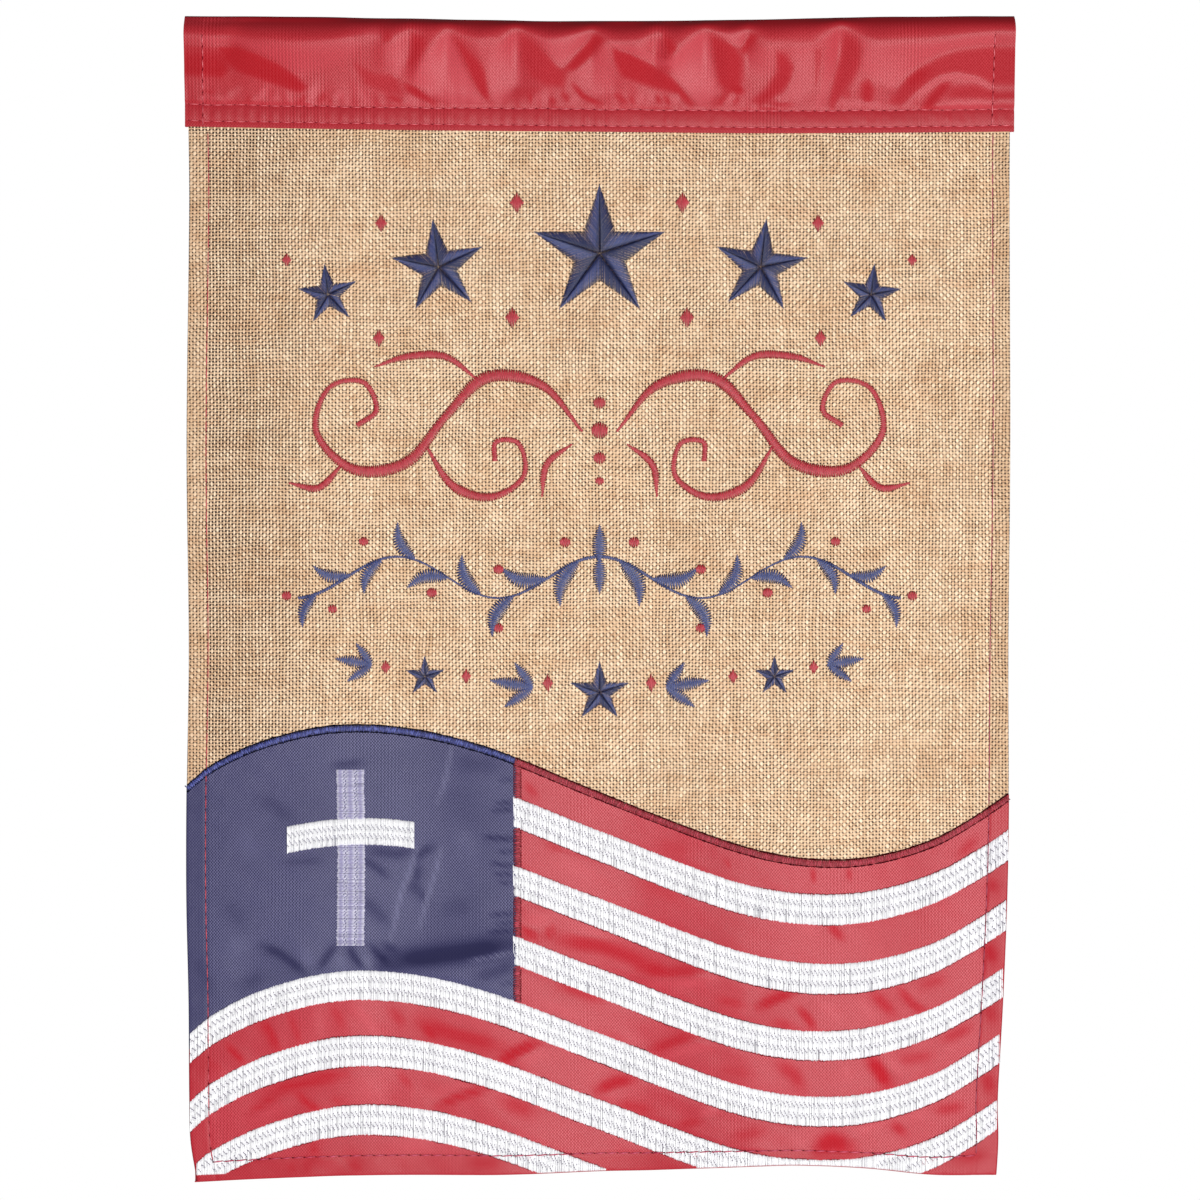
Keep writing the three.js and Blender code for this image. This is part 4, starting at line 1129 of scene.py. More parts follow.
# ------------------------------------------------------------------ pole sleeve
# Facets and creases of the sleeve, as areas and strokes that tilt down and right where their tilt is above 0.
SLEEVE_SLOPES = [
    dict(area=[(-328.4, -25.2), (-314.5, -23.5), (-298.8, -29.6), (-278, -39.1), (-264, -49.6), (-255.3, -58.3), (-260.6, -61.8), (-273.6, -58.3), (-293.6, -51.3), (-312.8, -44.4), (-324.9, -35.7)], tilt=-1.2),
    dict(line=[(-340, -44), (-300, -60)], tilt=-0.3, wide=16),
    dict(area=[(-365, -31.3), (-328.4, -32.2), (-322.3, -42.6), (-328.4, -48.7), (-365, -47.9)], tilt=-0.9),
    dict(area=[(-365, -21.8), (-328.4, -25.2), (-328.4, -32.2), (-365, -31.3)], tilt=-0.5, soft=3),
    dict(area=[(-365, -13.1), (-343.2, -13.9), (-312.8, -17.4), (-293.6, -20.9), (-269.3, -22.6), (-234.5, -20), (-215.3, -17.4), (-206.6, -21.8), (-217.1, -33.9), (-243.2, -42.6), (-258, -47), (-269.3, -41.8), (-293.6, -29.6), (-312.8, -22.6), (-343.2, -20.9), (-365, -20)], tilt=0.5),
    dict(area=[(-212.7, -38.3), (-195.3, -46.1), (-175.3, -48.7), (-171.8, -64.4), (-186.6, -62.6), (-204, -55.7)], tilt=-0.5),
    dict(line=[(-184, -66.1), (-171.8, -70.5)], tilt=-0.6, wide=2.6),
    dict(area=[(-188.4, -7), (-179.7, -7.8), (-180.5, -20), (-187.5, -20.9)], tilt=-0.7),
    dict(area=[(-186.6, -23.5), (-175.3, -18.3), (-171.8, -33.9), (-175.3, -47.9), (-185.7, -39.1)], tilt=0.6),
    dict(area=[(-204, -11.3), (-194.4, -5.2), (-189.2, -7.8), (-189.2, -20.9), (-201.4, -20)], tilt=0.35),
    dict(line=[(-347.6, -72.2), (-342.3, -65.2)], tilt=0.7, wide=2.2),
    dict(line=[(-336.3, -72.2), (-333.6, -64.4)], tilt=0.6, wide=2.2),
    dict(line=[(-326.7, -72.2), (-321.5, -64.4)], tilt=0.8, wide=2.6),
    dict(line=[(-318, -65.2), (-311.9, -58.3)], tilt=0.5, wide=2.6),
    dict(line=[(-298.8, -72.2), (-293.6, -65.2), (-288.4, -58.3)], tilt=0.9, wide=2.6),
    dict(line=[(-284.9, -72.2), (-279.7, -65.2)], tilt=0.6, wide=2.2),
    dict(line=[(-267.5, -72.2), (-272.7, -64.4)], tilt=0.7, wide=2.2),
    dict(line=[(-251.9, -72.2), (-248.4, -61.8), (-244.9, -56.5)], tilt=0.9, wide=2.6),
    dict(line=[(-229.2, -68.7), (-224, -60.9)], tilt=0.9, wide=2.6),
    dict(line=[(-218.8, -72.2), (-221.4, -65.2)], tilt=0.8, wide=2.6),
    dict(line=[(-210.1, -58.3), (-204, -67), (-199.7, -72.2)], tilt=0.7, wide=2.6),
    dict(line=[(-260.6, -72.2), (-255.3, -65.2)], tilt=-0.6, wide=2.2),
    dict(line=[(-243.2, -70.5), (-237.9, -63.5)], tilt=-0.5, wide=2.6),
    dict(line=[(-234.5, -72.2), (-232.7, -67)], tilt=-0.4, wide=2.2),
    dict(line=[(-305.8, -72.2), (-304.1, -65.2)], tilt=-0.4, wide=2.2),
    dict(line=[(-343.2, -61.8), (-333.6, -63.5)], tilt=-0.4, wide=2.2),
    dict(area=[(-177, -18.3), (-166.6, -10.4), (-163.1, -16.5), (-166.6, -29.6), (-170.1, -46.1), (-177, -49.6)], tilt=0.5),
    dict(area=[(-163.1, -13.1), (-154.4, -16.5), (-150.1, -23.5), (-156.2, -33.9), (-162.3, -41.8), (-166.6, -39.1), (-164, -29.6)], tilt=-0.8),
    dict(area=[(-131.8, -10.4), (-128.3, -16.5), (-121.4, -30.4), (-112.7, -49.6), (-104, -64.4), (-97, -73.1), (-138.8, -74), (-151.8, -64.4), (-162.3, -53.1), (-157.9, -42.6), (-147.5, -27)], tilt=0.9),
    dict(area=[(-127.5, -14.8), (-118.8, -21.8), (-104.8, -35.7), (-98.7, -47), (-94.4, -67), (-97.9, -71.3), (-107.4, -61.8), (-115.3, -42.6), (-122.2, -28.7)], tilt=-0.8),
    dict(area=[(-116.1, -16.5), (-97, -14.8), (-88.3, -18.3), (-97, -32.2), (-102.2, -33.9)], tilt=0.3),
    dict(area=[(-72.6, -10.4), (-70, -16.5), (-70, -38.3), (-69.2, -51.3), (-76.1, -61.8), (-86.6, -73.1), (-95.3, -68.7), (-97.9, -51.3), (-97, -33.9), (-86.6, -20.9), (-79.6, -14.8)], tilt=0.7),
    dict(area=[(-68.3, -13.1), (-58.7, -18.3), (-44.8, -29.6), (-36.1, -40.9), (-28.3, -44.4), (-31.8, -58.3), (-47.4, -56.5), (-60.5, -49.6), (-67.4, -35.7), (-69.2, -23.5)], tilt=-0.6),
    dict(area=[(-57, -13.9), (-47.4, -17.4), (-34.4, -16.5), (-8.3, -10.4), (-5.7, -13.9), (-12.6, -21.8), (-23.9, -32.2), (-32.6, -40.9), (-37.8, -37.4), (-47.4, -27)], tilt=0.7),
    dict(area=[(-5.7, -13.9), (0.4, -14.8), (3.9, -20), (-3, -27.8), (-14.4, -38.3), (-21.3, -43.5), (-29.1, -42.6), (-21.3, -32.2), (-11.7, -21.8)], tilt=-1),
    dict(area=[(3.9, -20.9), (10.9, -23.5), (10.9, -61.8), (0.4, -67), (-8.3, -64.4), (-17, -53.1), (-21.3, -45.2), (-10, -35.7)], tilt=0.5),
    dict(area=[(-169.2, -55.7), (-157.9, -58.3), (-147.5, -64.4), (-138.8, -67.9), (-131.8, -72.2), (-145.7, -72.2), (-157.9, -67), (-166.6, -61.8)], tilt=-1),
    dict(area=[(-166.6, -64.4), (-157.9, -68.7), (-149.2, -72.2), (-157.9, -74.8), (-168.3, -72.2)], tilt=0.6),
    dict(area=[(-73.5, -60), (-60.5, -57.4), (-50.9, -60), (-60.5, -67), (-73.5, -66.1)], tilt=-0.4),
    dict(line=[(-22.2, -56.5), (-15.2, -65.2), (-6.5, -69.6), (2.2, -72.2)], tilt=-0.8, wide=2.2),
    dict(line=[(-43.1, -67), (-39.6, -72.2)], tilt=-0.6, wide=2.2),
    dict(line=[(-31.8, -63.5), (-27.4, -69.6)], tilt=-0.6, wide=2.2),
    dict(line=[(-54.4, -71.3), (-52.6, -63.5)], tilt=0.7, wide=2.2),
    dict(line=[(-47.4, -71.3), (-45.7, -63.5)], tilt=0.7, wide=2.2),
    dict(line=[(-23.1, -72.2), (-20.4, -65.2)], tilt=0.6, wide=2.2),
    dict(line=[(-60.5, -71.3), (-59.6, -65.2)], tilt=-0.5, wide=1.7),
    dict(area=[(10.9, -18.3), (35.2, -19.1), (48.3, -14.8), (52.6, -7.8), (56.1, -11.3), (56.1, -25.2), (59.6, -32.2), (43.9, -27), (26.5, -21.8)], tilt=0.4),
    dict(area=[(54.4, -11.3), (63.1, -18.3), (67.4, -27), (62.2, -33.9), (57, -31.3), (54.4, -20.9)], tilt=-0.9),
    dict(area=[(10.9, -26.1), (26.5, -29.6), (43.9, -39.1), (55.2, -44.4), (66.6, -54.8), (78.7, -67), (84.8, -73.1), (78.7, -73.1), (65.7, -62.6), (48.3, -58.3), (30.9, -53.1), (19.6, -49.6), (12.6, -35.7)], tilt=-0.9),
    dict(area=[(10.9, -20.9), (35.2, -25.2), (57, -35.7), (63.9, -38.3), (55.2, -41.8), (35.2, -33.9), (16.1, -27)], tilt=0.6, soft=1.4),
    dict(area=[(90, -10.4), (94.4, -14.8), (97.9, -33.9), (101.4, -55.7), (97.9, -68.7), (87.4, -75.7), (82.2, -71.3), (73.5, -58.3), (63.1, -44.4), (59.6, -36.5), (70, -25.2), (80.5, -16.5)], tilt=1),
    dict(area=[(95.3, -14.8), (106.6, -18.3), (117.9, -25.2), (124, -33.9), (123.1, -51.3), (120.5, -62.6), (111.8, -63.5), (103.1, -53.9), (98.7, -33.9)], tilt=-0.75),
    dict(area=[(97.9, -12.2), (126.6, -9.6), (130.1, -13.1), (124, -25.2), (117.9, -23.5), (106.6, -16.5)], tilt=0.6, soft=1.4),
    dict(area=[(130.9, -13.1), (137, -14.8), (133.5, -21.8), (126.6, -29.6), (122.2, -26.1), (126.6, -18.3)], tilt=-0.9),
    dict(line=[(119.6, -60), (123.1, -61.8)], tilt=-0.9, wide=3),
    dict(area=[(127.5, -32.2), (144, -25.2), (152.7, -28.7), (150.1, -47), (139.6, -50.5), (129.2, -47)], tilt=0.4),
    dict(area=[(152.7, -28.7), (161.4, -31.3), (167.5, -40.9), (165.7, -53.1), (158.8, -61.8), (148.3, -68.7), (139.6, -73.1), (134.4, -69.6), (146.6, -58.3), (154.4, -44.4)], tilt=-0.7),
    dict(area=[(168.3, -25.2), (184, -23.5), (185.7, -60), (174.4, -69.6), (164, -67), (165.7, -55.7), (171.8, -42.6)], tilt=0.5),
    dict(area=[(185.7, -27), (193.6, -25.2), (191.8, -64.4), (186.6, -61.8)], tilt=-0.3),
    dict(line=[(13.5, -63.5), (23.1, -72.2)], tilt=-0.6, wide=2.2),
    dict(line=[(26.5, -65.2), (30, -73.1)], tilt=-0.5, wide=1.7),
    dict(line=[(35.2, -70.5), (37.8, -62.6)], tilt=0.7, wide=2.2),
    dict(line=[(43.9, -71.3), (45.7, -64.4)], tilt=0.7, wide=2.2),
    dict(line=[(49.2, -65.2), (52.6, -72.2)], tilt=-0.6, wide=1.9),
    dict(line=[(57, -66.1), (60.5, -73.1)], tilt=-0.6, wide=1.9),
    dict(line=[(64.8, -71.3), (68.3, -64.4)], tilt=0.7, wide=2.2),
    dict(line=[(110.1, -64.4), (103.1, -73.1)], tilt=-0.7, wide=2.2),
    dict(line=[(116.1, -64.4), (110.9, -72.2)], tilt=0.8, wide=2.2),
    dict(line=[(104.8, -58.3), (97.9, -67)], tilt=0.5, wide=2.2),
    dict(line=[(120.5, -67), (116.1, -72.2)], tilt=-0.5, wide=2.2),
    dict(line=[(148.3, -72.2), (165.7, -73.1)], tilt=-0.4, wide=2.6),
    dict(line=[(153.6, -68.7), (162.3, -67.9)], tilt=0.4, wide=2.6),
    dict(area=[(207.5, -9.6), (211, -13.1), (207.5, -29.6), (202.3, -47), (198.8, -64.4), (196.2, -75.7), (186.6, -75.7), (191.8, -51.3), (195.3, -32.2), (197.1, -20)], tilt=0.6),
    dict(line=[(184.9, -25.2), (195.3, -18.3), (205.8, -10.4)], tilt=0.5, wide=1.4),
    dict(area=[(211.8, -13.1), (222.3, -18.3), (227.5, -27), (224.9, -40.9), (217.9, -54.8), (207.5, -68.7), (202.3, -76.6), (199.7, -69.6), (204, -49.6), (209.2, -29.6)], tilt=-0.6),
    dict(area=[(224.9, -17.4), (244, -20.9), (283.2, -20), (318, -15.7), (344.1, -12.2), (365.8, -11.3), (365.8, -20.9), (339.7, -21.8), (313.6, -24.4), (296.2, -29.6), (278.8, -38.3), (265.8, -48.7), (255.3, -60.9), (248.4, -55.7), (235.3, -49.6), (228.4, -42.6), (227.5, -27)], tilt=0.6),
    dict(area=[(365.8, -25.2), (335.4, -24.4), (309.3, -27.8), (291.9, -33.9), (274.5, -45.2), (261.4, -58.3), (251, -72.2), (263.2, -73.1), (275.4, -63.5), (287.5, -53.1), (300.6, -47), (313.6, -46.1), (331, -49.6), (342.3, -55.7), (365.8, -56.5)], tilt=-0.55),
    dict(line=[(265.8, -54.8), (283.2, -44.4)], tilt=-0.4, wide=5.2),
    dict(line=[(265.8, -74), (274.5, -66.1), (285.8, -57.4), (296.2, -50.5), (309.3, -47.9), (326.7, -51.3), (339.7, -58.3)], tilt=0.9, wide=1.7),
    dict(area=[(303.2, -54.8), (296.2, -56.5), (287.5, -65.2), (280.6, -75.7), (287.5, -76.6), (294.5, -67.9), (301.5, -60.9)], tilt=-1),
    dict(area=[(306.7, -58.3), (326.7, -56.5), (341.5, -61.8), (341.5, -67.9), (313.6, -67.9), (303.2, -66.1)], tilt=-0.5),
    dict(area=[(292.8, -74), (313.6, -69.6), (339.7, -70.5), (365.8, -69.6), (365.8, -75.7), (296.2, -78.3)], tilt=0.6),
    dict(area=[(228.4, -55.7), (233.6, -52.2), (237.9, -60), (236.2, -71.3), (230.1, -73.1), (227.5, -64.4)], tilt=-0.8),
    dict(area=[(341.5, -63.5), (365.8, -62.6), (365.8, -67.9), (341.5, -68.7)], tilt=-0.6),
    dict(line=[(213.6, -74), (226.6, -71.3), (252.7, -74.8)], tilt=0.5, wide=2.2),
    dict(line=[(213.6, -68.7), (216.2, -61.8)], tilt=-0.5, wide=2.2),
    dict(line=[(207.5, -74), (213.6, -67)], tilt=0.5, wide=2.2),
    dict(area=[(-342.3, -0.9), (-221.4, -2.6), (-215.3, -13.1), (-225.8, -17.4), (-269.3, -18.3), (-304.1, -16.5), (-342.3, -13.1)], tilt=-0.5, soft=3),
    dict(area=[(-153.6, -7.8), (-133.5, -4.3), (-133.5, -9.6), (-149.2, -21.8), (-154.4, -18.3)], tilt=-0.35),
    dict(area=[(-124.8, -11.3), (-86.6, -7.8), (-76.1, -9.6), (-88.3, -18.3), (-112.7, -16.5)], tilt=-0.35),
    dict(area=[(-65.7, -7.8), (-8.3, -5.2), (-10, -9.6), (-47.4, -15.7), (-60.5, -13.1)], tilt=-0.35),
    dict(area=[(5.7, -6.1), (48.3, -4.3), (48.3, -13.1), (35.2, -18.3), (9.1, -18.3)], tilt=-0.35),
    dict(area=[(59.6, -13.1), (87.4, -7.8), (70, -21.8), (66.6, -20)], tilt=-0.35),
    dict(area=[(97.9, -6.1), (126.6, -5.2), (124, -8.7), (99.6, -10.4)], tilt=-0.35),
    dict(area=[(136.2, -11.3), (200.5, -6.1), (184.9, -20), (144, -18.3)], tilt=-0.3),
    dict(area=[(217.9, -9.6), (365.8, -0.9), (365.8, -9.6), (313.6, -13.9), (244, -19.1)], tilt=-0.3),
]
# where the top fold turns over sharply, and how far to its sides
FOLD_PEAKS = [
    dict(x=-165, half=13, sharp=1),
    dict(x=-133, half=17, sharp=1.5),
    dict(x=-100, half=10, sharp=0.3),
    dict(x=-73, half=16, sharp=1.6),
    dict(x=-7, half=14, sharp=1.3),
    dict(x=49, half=10, sharp=1.2),
    dict(x=91, half=17, sharp=1.6),
    dict(x=128, half=12, sharp=1.2),
    dict(x=174, half=26, sharp=0.35),
    dict(x=209, half=16, sharp=1.7),
    dict(x=296, half=44, sharp=0.4),
    dict(x=348, half=35, sharp=0.6),
    dict(x=-269, half=54, sharp=-0.34),
    dict(x=-320, half=9, sharp=0.35),
    dict(x=-198, half=21, sharp=0.35),
    dict(x=-34, half=17, sharp=0.1),
    dict(x=60, half=8, sharp=-0.3),
    dict(x=11, half=12, sharp=-0.2),
    dict(x=112, half=8, sharp=-0.3),
]
sleeve_creased = Creased((-364, -78), (364, 4), 1.2, SLEEVE_SLOPES, 0.3, 26, 4.2)
sleeve_pucker = ripples(21, 7, 15, 12)
sleeve_roll = ripples(22, 60, 170)
sleeve_crumple = ripples(24, 22, 70, 10)
seam_noise = ripples(23, 30, 90)


def sleeve_seam(x):
    return sleeve_foot(x) + SEAM_UP + 0.5 * seam_noise(x, 0 * x)


def sleeve_seam_low(x):
    return sleeve_foot(x) + SEAM_LOW + 0.4 * seam_noise(x, 0 * x + 300)


def sleeve_end_left(z):
    return -SLEEVE_HALF + 16.5 + 0.01 * z


def sleeve_end_right(z):
    return SLEEVE_HALF - 17.4 + 0.02 * z


def sleeve_relief(x, z, down):
    """Relief of the sleeve's front: long creases above the seam, small puckers from each stitch."""
    seam, low = sleeve_seam(x), sleeve_seam_low(x)
    above = z - seam
    wall = ease((above + 1) / 5) * ease((down - 0.01) / 0.08)
    y = sleeve_creased(x, z) + 0.12 * sleeve_crumple(x, z)
    y = np.where(y < 0, y * ease(above / 22), y) * wall
    pitch = 10.1
    phase = 2 * np.pi * x / pitch
    tall = np.where(above > 0, np.exp(-np.clip(above, 0, None) / 9.0) * ease(above / 2.5), 0)
    y = y + tall * (0.7 * sleeve_pucker(x + 0.35 * z, z * 0.3) + 0.3 * np.cos(phase))
    between = (z < seam) & (z > low)
    mid = np.where(between, np.sin(np.pi * np.clip((z - low) / (seam - low), 0, 1)), 0)
    y = y + mid * (0.45 + 0.42 * np.cos(phase + 0.6) + 0.36 * sleeve_pucker(x, z * 0.4))
    below = z <= low
    y = y + np.where(below, 0.1 + 0.12 * np.cos(phase + 1.1), 0)
    y = y - 0.35 * np.exp(-((above / 1.3) ** 2)) - 0.3 * np.exp(-(((z - low) / 1.2) ** 2))
    for end in (sleeve_end_left(z), sleeve_end_right(z)):
        y = y - 0.1 * np.exp(-(((x - end) / 1.0) ** 2))
    hemmed = (x < sleeve_end_left(z)) | (x > sleeve_end_right(z))
    return y + 0.12 * hemmed


def sleeve_out(x, down, sign=-1):
    """How far the sleeve's plain round stands off the middle: the fold is sharper at its peaks."""
    share = down
    if sign < 0:
        turn = 1.08 + 0.12 * sleeve_roll(x * 1.4, 0 * x + 90)
        for peak in FOLD_PEAKS:
            turn = turn + peak["sharp"] * np.clip(1 - np.abs(x - peak["x"]) / (1.9 * peak["half"]), 0, 1) ** 1.5
        share = down * (1 + (turn - 1) * (1 - down) ** 2)
    puff = 0.05 * sleeve_roll(x, 0 * x) * ease((1 - down) / 0.3)
    return np.where(down >= 0.999, 2.0, pocket_out(share) * (1 + puff))


def make_sleeve():
    ends = [0, 0.4, 1.2, 3, 6, 9, 12, 14.5, 15.6, 16.5, 17.4, 18.6, 21]
    right = [0, 0.4, 1.2, 3, 6, 10, 13, 15, 16.4, 17.4, 18.4, 19.6, 21.5, 25, 30]
    inner = np.linspace(-SLEEVE_HALF + 21, SLEEVE_HALF - 30, 236)[1:-1]
    xs = np.concatenate(
        [-SLEEVE_HALF + np.array(ends), inner, SLEEVE_HALF - np.array(right)[::-1]]
    )
    low_part = [0, 0.5, 1.4, 2.8, 4.2, 5.2, 6.2, 8, 10.5, 13, 15.5, 17.6, 18.7, 19.5, 20.4]
    share = np.concatenate(
        [
            np.array([0.985, 0.965, 0.94]),
            np.linspace(0.91, 0.30, 21),
            np.linspace(0.28, 0.10, 8),
            [0.085, 0.07, 0.056, 0.044, 0.032, 0.021, 0.012, 0.005],
        ]
    )
    x = xs[None]
    foot, top = sleeve_foot(x), sleeve_top(x) + 0.35 * sleeve_roll(x, 0 * x + 40)
    seam = foot + 20.8
    rows_z, rows_down = [], []
    for o in low_part:
        rows_z.append(foot + o)
        rows_down.append(np.ones_like(x))
    for s in share:
        rows_z.append(top + (seam - top) * s)
        rows_down.append(s + 0 * x)
    z = np.concatenate(rows_z)
    down = np.concatenate(rows_down)
    x = np.broadcast_to(x, z.shape)
    def wall(sign, relief):
        return stack(x, hang(x, np.minimum(z, HANG_TOP)) + sign * (sleeve_out(x, down, sign) + relief), z)

    front = wall(-1, sleeve_relief(x, z, down))
    behind = wall(1, 0.5 * sleeve_relief(-x * 0.93, z, down))
    crown = stack(xs, 0 * xs, top[0] + 0 * xs)[None]
    # from the back leg's foot, up over the fold, and down the front: rows run down on the outside
    outer = np.concatenate([behind, crown, front[::-1]])
    # the inner face lies one thickness in along the sheet's own normal
    across = np.gradient(outer, axis=0)
    length = np.gradient(outer, axis=1)
    normal = np.cross(length, across)
    normal /= np.linalg.norm(normal, axis=2, keepdims=True)
    if normal[-1, 100, 1] > 0:
        normal = -normal
    inner_face = outer - normal * 0.55
    hem = ((x < sleeve_end_left(z)) | (x > sleeve_end_right(z))) * 1.0
    band = (z < sleeve_seam(x) + 0.5) * 0.55
    # painted shade over the top of the roll, where the fold turns away from the light; it darkens the colour through
    # the same attribute as the doubled cloth
    painted_shade = 1.9 * (1 - ease((sleeve_top(x) - z - 3) / 13)) * ease((x + 350) / 70)
    darker_cloth_and_painted_shade = np.maximum(np.maximum(hem * 0.6, band), painted_shade)
    darker_cloth_and_painted_shade = np.concatenate([darker_cloth_and_painted_shade, darker_cloth_and_painted_shade[:1] * 0, darker_cloth_and_painted_shade[::-1]])
    # the creases' tilt, which paints highlight and shade into the sleeve's colour above its seam
    gloss = sleeve_creased.painted_sheen(x, z) * (z > sleeve_seam(x))
    gloss = np.concatenate([gloss * 0, gloss[:1] * 0, gloss[::-1]])
    o = solid_of("sleeve_cloth", outer, inner_face, values={"hem": darker_cloth_and_painted_shade, "painted_sheen": gloss}, sharp=60)
    o.data.materials.append(RED_SLEEVE)
    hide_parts("pole_sleeve")
    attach(o, "root")
    return o


def sleeve_wall(x, z):
    """Depth of the sleeve's front above its seam."""
    top = sleeve_top(x) + 0.35 * sleeve_roll(x, 0 * x + 40)
    down = np.clip((top - z) / (top - sleeve_foot(x) - 20.8), 0, 1)
    out = sleeve_out(x, down) + sleeve_relief(x, z, down)
    return hang(x, np.minimum(z, HANG_TOP)) - out - 0.1


def sleeve_front(x, z):
    """Depth of the sleeve's front on its flat lower band."""
    return hang(x, np.minimum(z, HANG_TOP)) - 2.0 - sleeve_relief(x, z, 1.0 + 0 * x)


# ------------------------------------------------------------------ stitching
rng = np.random.default_rng(41)
UP = np.array([0.0, -1.0, 0.0])


BEHIND = {}
DOWN = np.array([0.0, 1.0, 0.0])


def burlap_back(x, z):
    return hang(x, z) + 0.6 - burlap_relief(x, z) + 1.1 * hem_share(x, z) * (z < -98)


def wrong_side(key, p, q, side, pitch):
    """The same stitches behind the cloth: half as many, flatter and looser."""
    p, q = p[::2], q[::2]
    if len(p) < 2:
        return
    mid = (p + q) / 2
    x, z = mid[:, 0], mid[:, 1]
    clear = (x > seam_left(z) + 0.5) & (x < seam_right(z) - 0.5) & (z > seam_foot(x) + 0.5)
    if clear.sum() < 2:
        return
    side = np.broadcast_to(side, (2 * len(p), 1, 3))[: len(p)] if side.shape[0] == 1 else side[::2][: len(p)]
    p, q, side = p[clear], q[clear], side[clear]
    n = len(p)
    swap = (np.arange(n) % 2)[:, None]
    over = rng.uniform(0.0, 0.05, (n, 1))
    p, q = p + (q - p) * over, q + (p - q) * over
    t = np.array([0, 0.5, 1.0])[None]
    x = p[:, :1] * (1 - t) + q[:, :1] * t
    z = p[:, 1:] * (1 - t) + q[:, 1:] * t
    y = burlap_back(x, z) - 0.1 + np.array([0, 0.4, 0])[None] + 0.12 * swap
    # painted shade at the ends, painted highlight at the middle
    tone = np.array([0.2, 0.9, 0.2])[None] * rng.uniform(0.7, 1.0, (n, 1))
    BEHIND.setdefault(key, Threads()).add(stack(x, y, z), side, DOWN, 1.75 * pitch, 0.3, tone)


def fill(threads, first, second, face, cuts, lift, wide, high, groove=0.12, middle=1.0, ends=0.8):
    """Rows of fill stitching: each thread runs from first to second (n, 2) over the face, and dives into the cloth at cuts (n, c), shares of its way."""
    n = len(first)
    marks = np.concatenate([np.zeros((n, 1)), cuts, np.ones((n, 1))], 1)
    t, level, tone, part = [], [], [], []
    for k in range(marks.shape[1] - 1):
        a, b = marks[:, k], marks[:, k + 1]
        steps = (0.0, 0.1, 0.5, 0.9) if k < marks.shape[1] - 2 else (0.0, 0.1, 0.5, 0.9, 1.0)
        for s in steps:
            t.append(a + (b - a) * s)
            level.append({0.0: 0.0, 0.1: 0.8, 0.5: 1.0, 0.9: 0.8, 1.0: 0.0}[s])
            tone.append({0.0: 0.0, 0.1: ends, 0.5: middle, 0.9: ends, 1.0: 0.0}[s])
            part.append(k)
    t = np.stack(t, 1)
    level = np.array(level)[None] + np.zeros_like(t)
    # the outer ends wrap over the edge and stay bright
    own = rng.uniform(0.84, 1.0, (n, 1)) * (1 - 0.12 * ease((first[:, :1] - 332) / 8))
    # painted shade where each thread dives in, painted highlight over the middle of each length
    tone = (0.16 + 0.84 * np.array(tone)[None]) * own
    tone[:, 0] = 0.5 * own[:, 0]
    tone[:, -1] = 0.5 * own[:, 0]
    x = first[:, :1] * (1 - t) + second[:, :1] * t
    z = first[:, 1:] * (1 - t) + second[:, 1:] * t
    y = face(x, z) + groove - level * lift
    centre = stack(x, y, z)
    along = second - first
    along /= np.linalg.norm(along, axis=1, keepdims=True)
    side = np.stack([along[:, 1], 0 * along[:, 0], -along[:, 0]], 1)[:, None]
    # now and then a thread is thin, mostly over its last length
    last = marks.shape[1] - 2
    slack = 0.14 + 0.08 * ease((-230 - first[:, :1]) / 100)
    odds = [slack if k == last and last else 0.02 + 0 * slack for k in range(last + 1)]
    thin = np.concatenate([np.where(rng.uniform(0, 1, (n, 1)) < p, rng.uniform(0.5, 0.9, (n, 1)), 1.0) for p in odds], 1)[:, part]
    w = wide * thin * rng.uniform(0.9, 1.1, (n, 1)) * (0.66 + 0.34 * level)
    threads.add(centre, side, UP, w, high * (0.6 + 0.4 * level), tone)
    wrong_side("white", first, second, side, wide)


def satin(threads, line, half, face, behind="navy", pitch=0.96, lift=0.7, high=0.34, lean=0.25, rough=0.25, dark=0.1, least=0.78):
    """Satin stitch over a line of points (n, 2): threads lie side by side across it. half is its half width along it, one number, an array, or two arrays for its two sides."""
    line = np.asarray(line, float)
    seg = np.hypot(*np.diff(line, axis=0).T)
    s = np.concatenate([[0], np.cumsum(seg)])
    n = max(2, int(s[-1] / pitch))
    at = (np.arange(n) + 0.5) * s[-1] / n
    cx, cz = np.interp(at, s, line[:, 0]), np.interp(at, s, line[:, 1])
    grid = np.linspace(0, s[-1], 200)
    gx, gz = np.interp(grid, s, line[:, 0]), np.interp(grid, s, line[:, 1])
    tx, tz = np.gradient(gx), np.gradient(gz)
    k = np.ones(9) / 9
    tx = np.convolve(np.pad(tx, 4, mode="edge"), k, "valid")
    tz = np.convolve(np.pad(tz, 4, mode="edge"), k, "valid")
    size = np.hypot(tx, tz)
    tx, tz = np.interp(at, grid, tx / size), np.interp(at, grid, tz / size)
    if not isinstance(half, tuple):
        half = (half, half)
    hs = []
    for h in half:
        h = np.asarray(h, float)
        hs.append(np.full(n, float(h)) if h.ndim == 0 else np.interp(at, np.linspace(0, s[-1], len(h)), h))
    jag = rough * rng.uniform(-1, 1, (2, n))
    a = hs[0] + jag[0]
    b = hs[1] + jag[1]
    zig = lean * pitch * np.where(np.arange(n) % 2, 1, -1)
    p = np.stack([cx - tz * a + tx * zig, cz + tx * a + tz * zig], 1)
    q = np.stack([cx + tz * b - tx * zig, cz - tx * b - tz * zig], 1)
    side = np.stack([tx, 0 * tx, tz], 1)[:, None]
    fan(threads, p, q, face, side, behind, pitch, lift, high, dark, least=least)


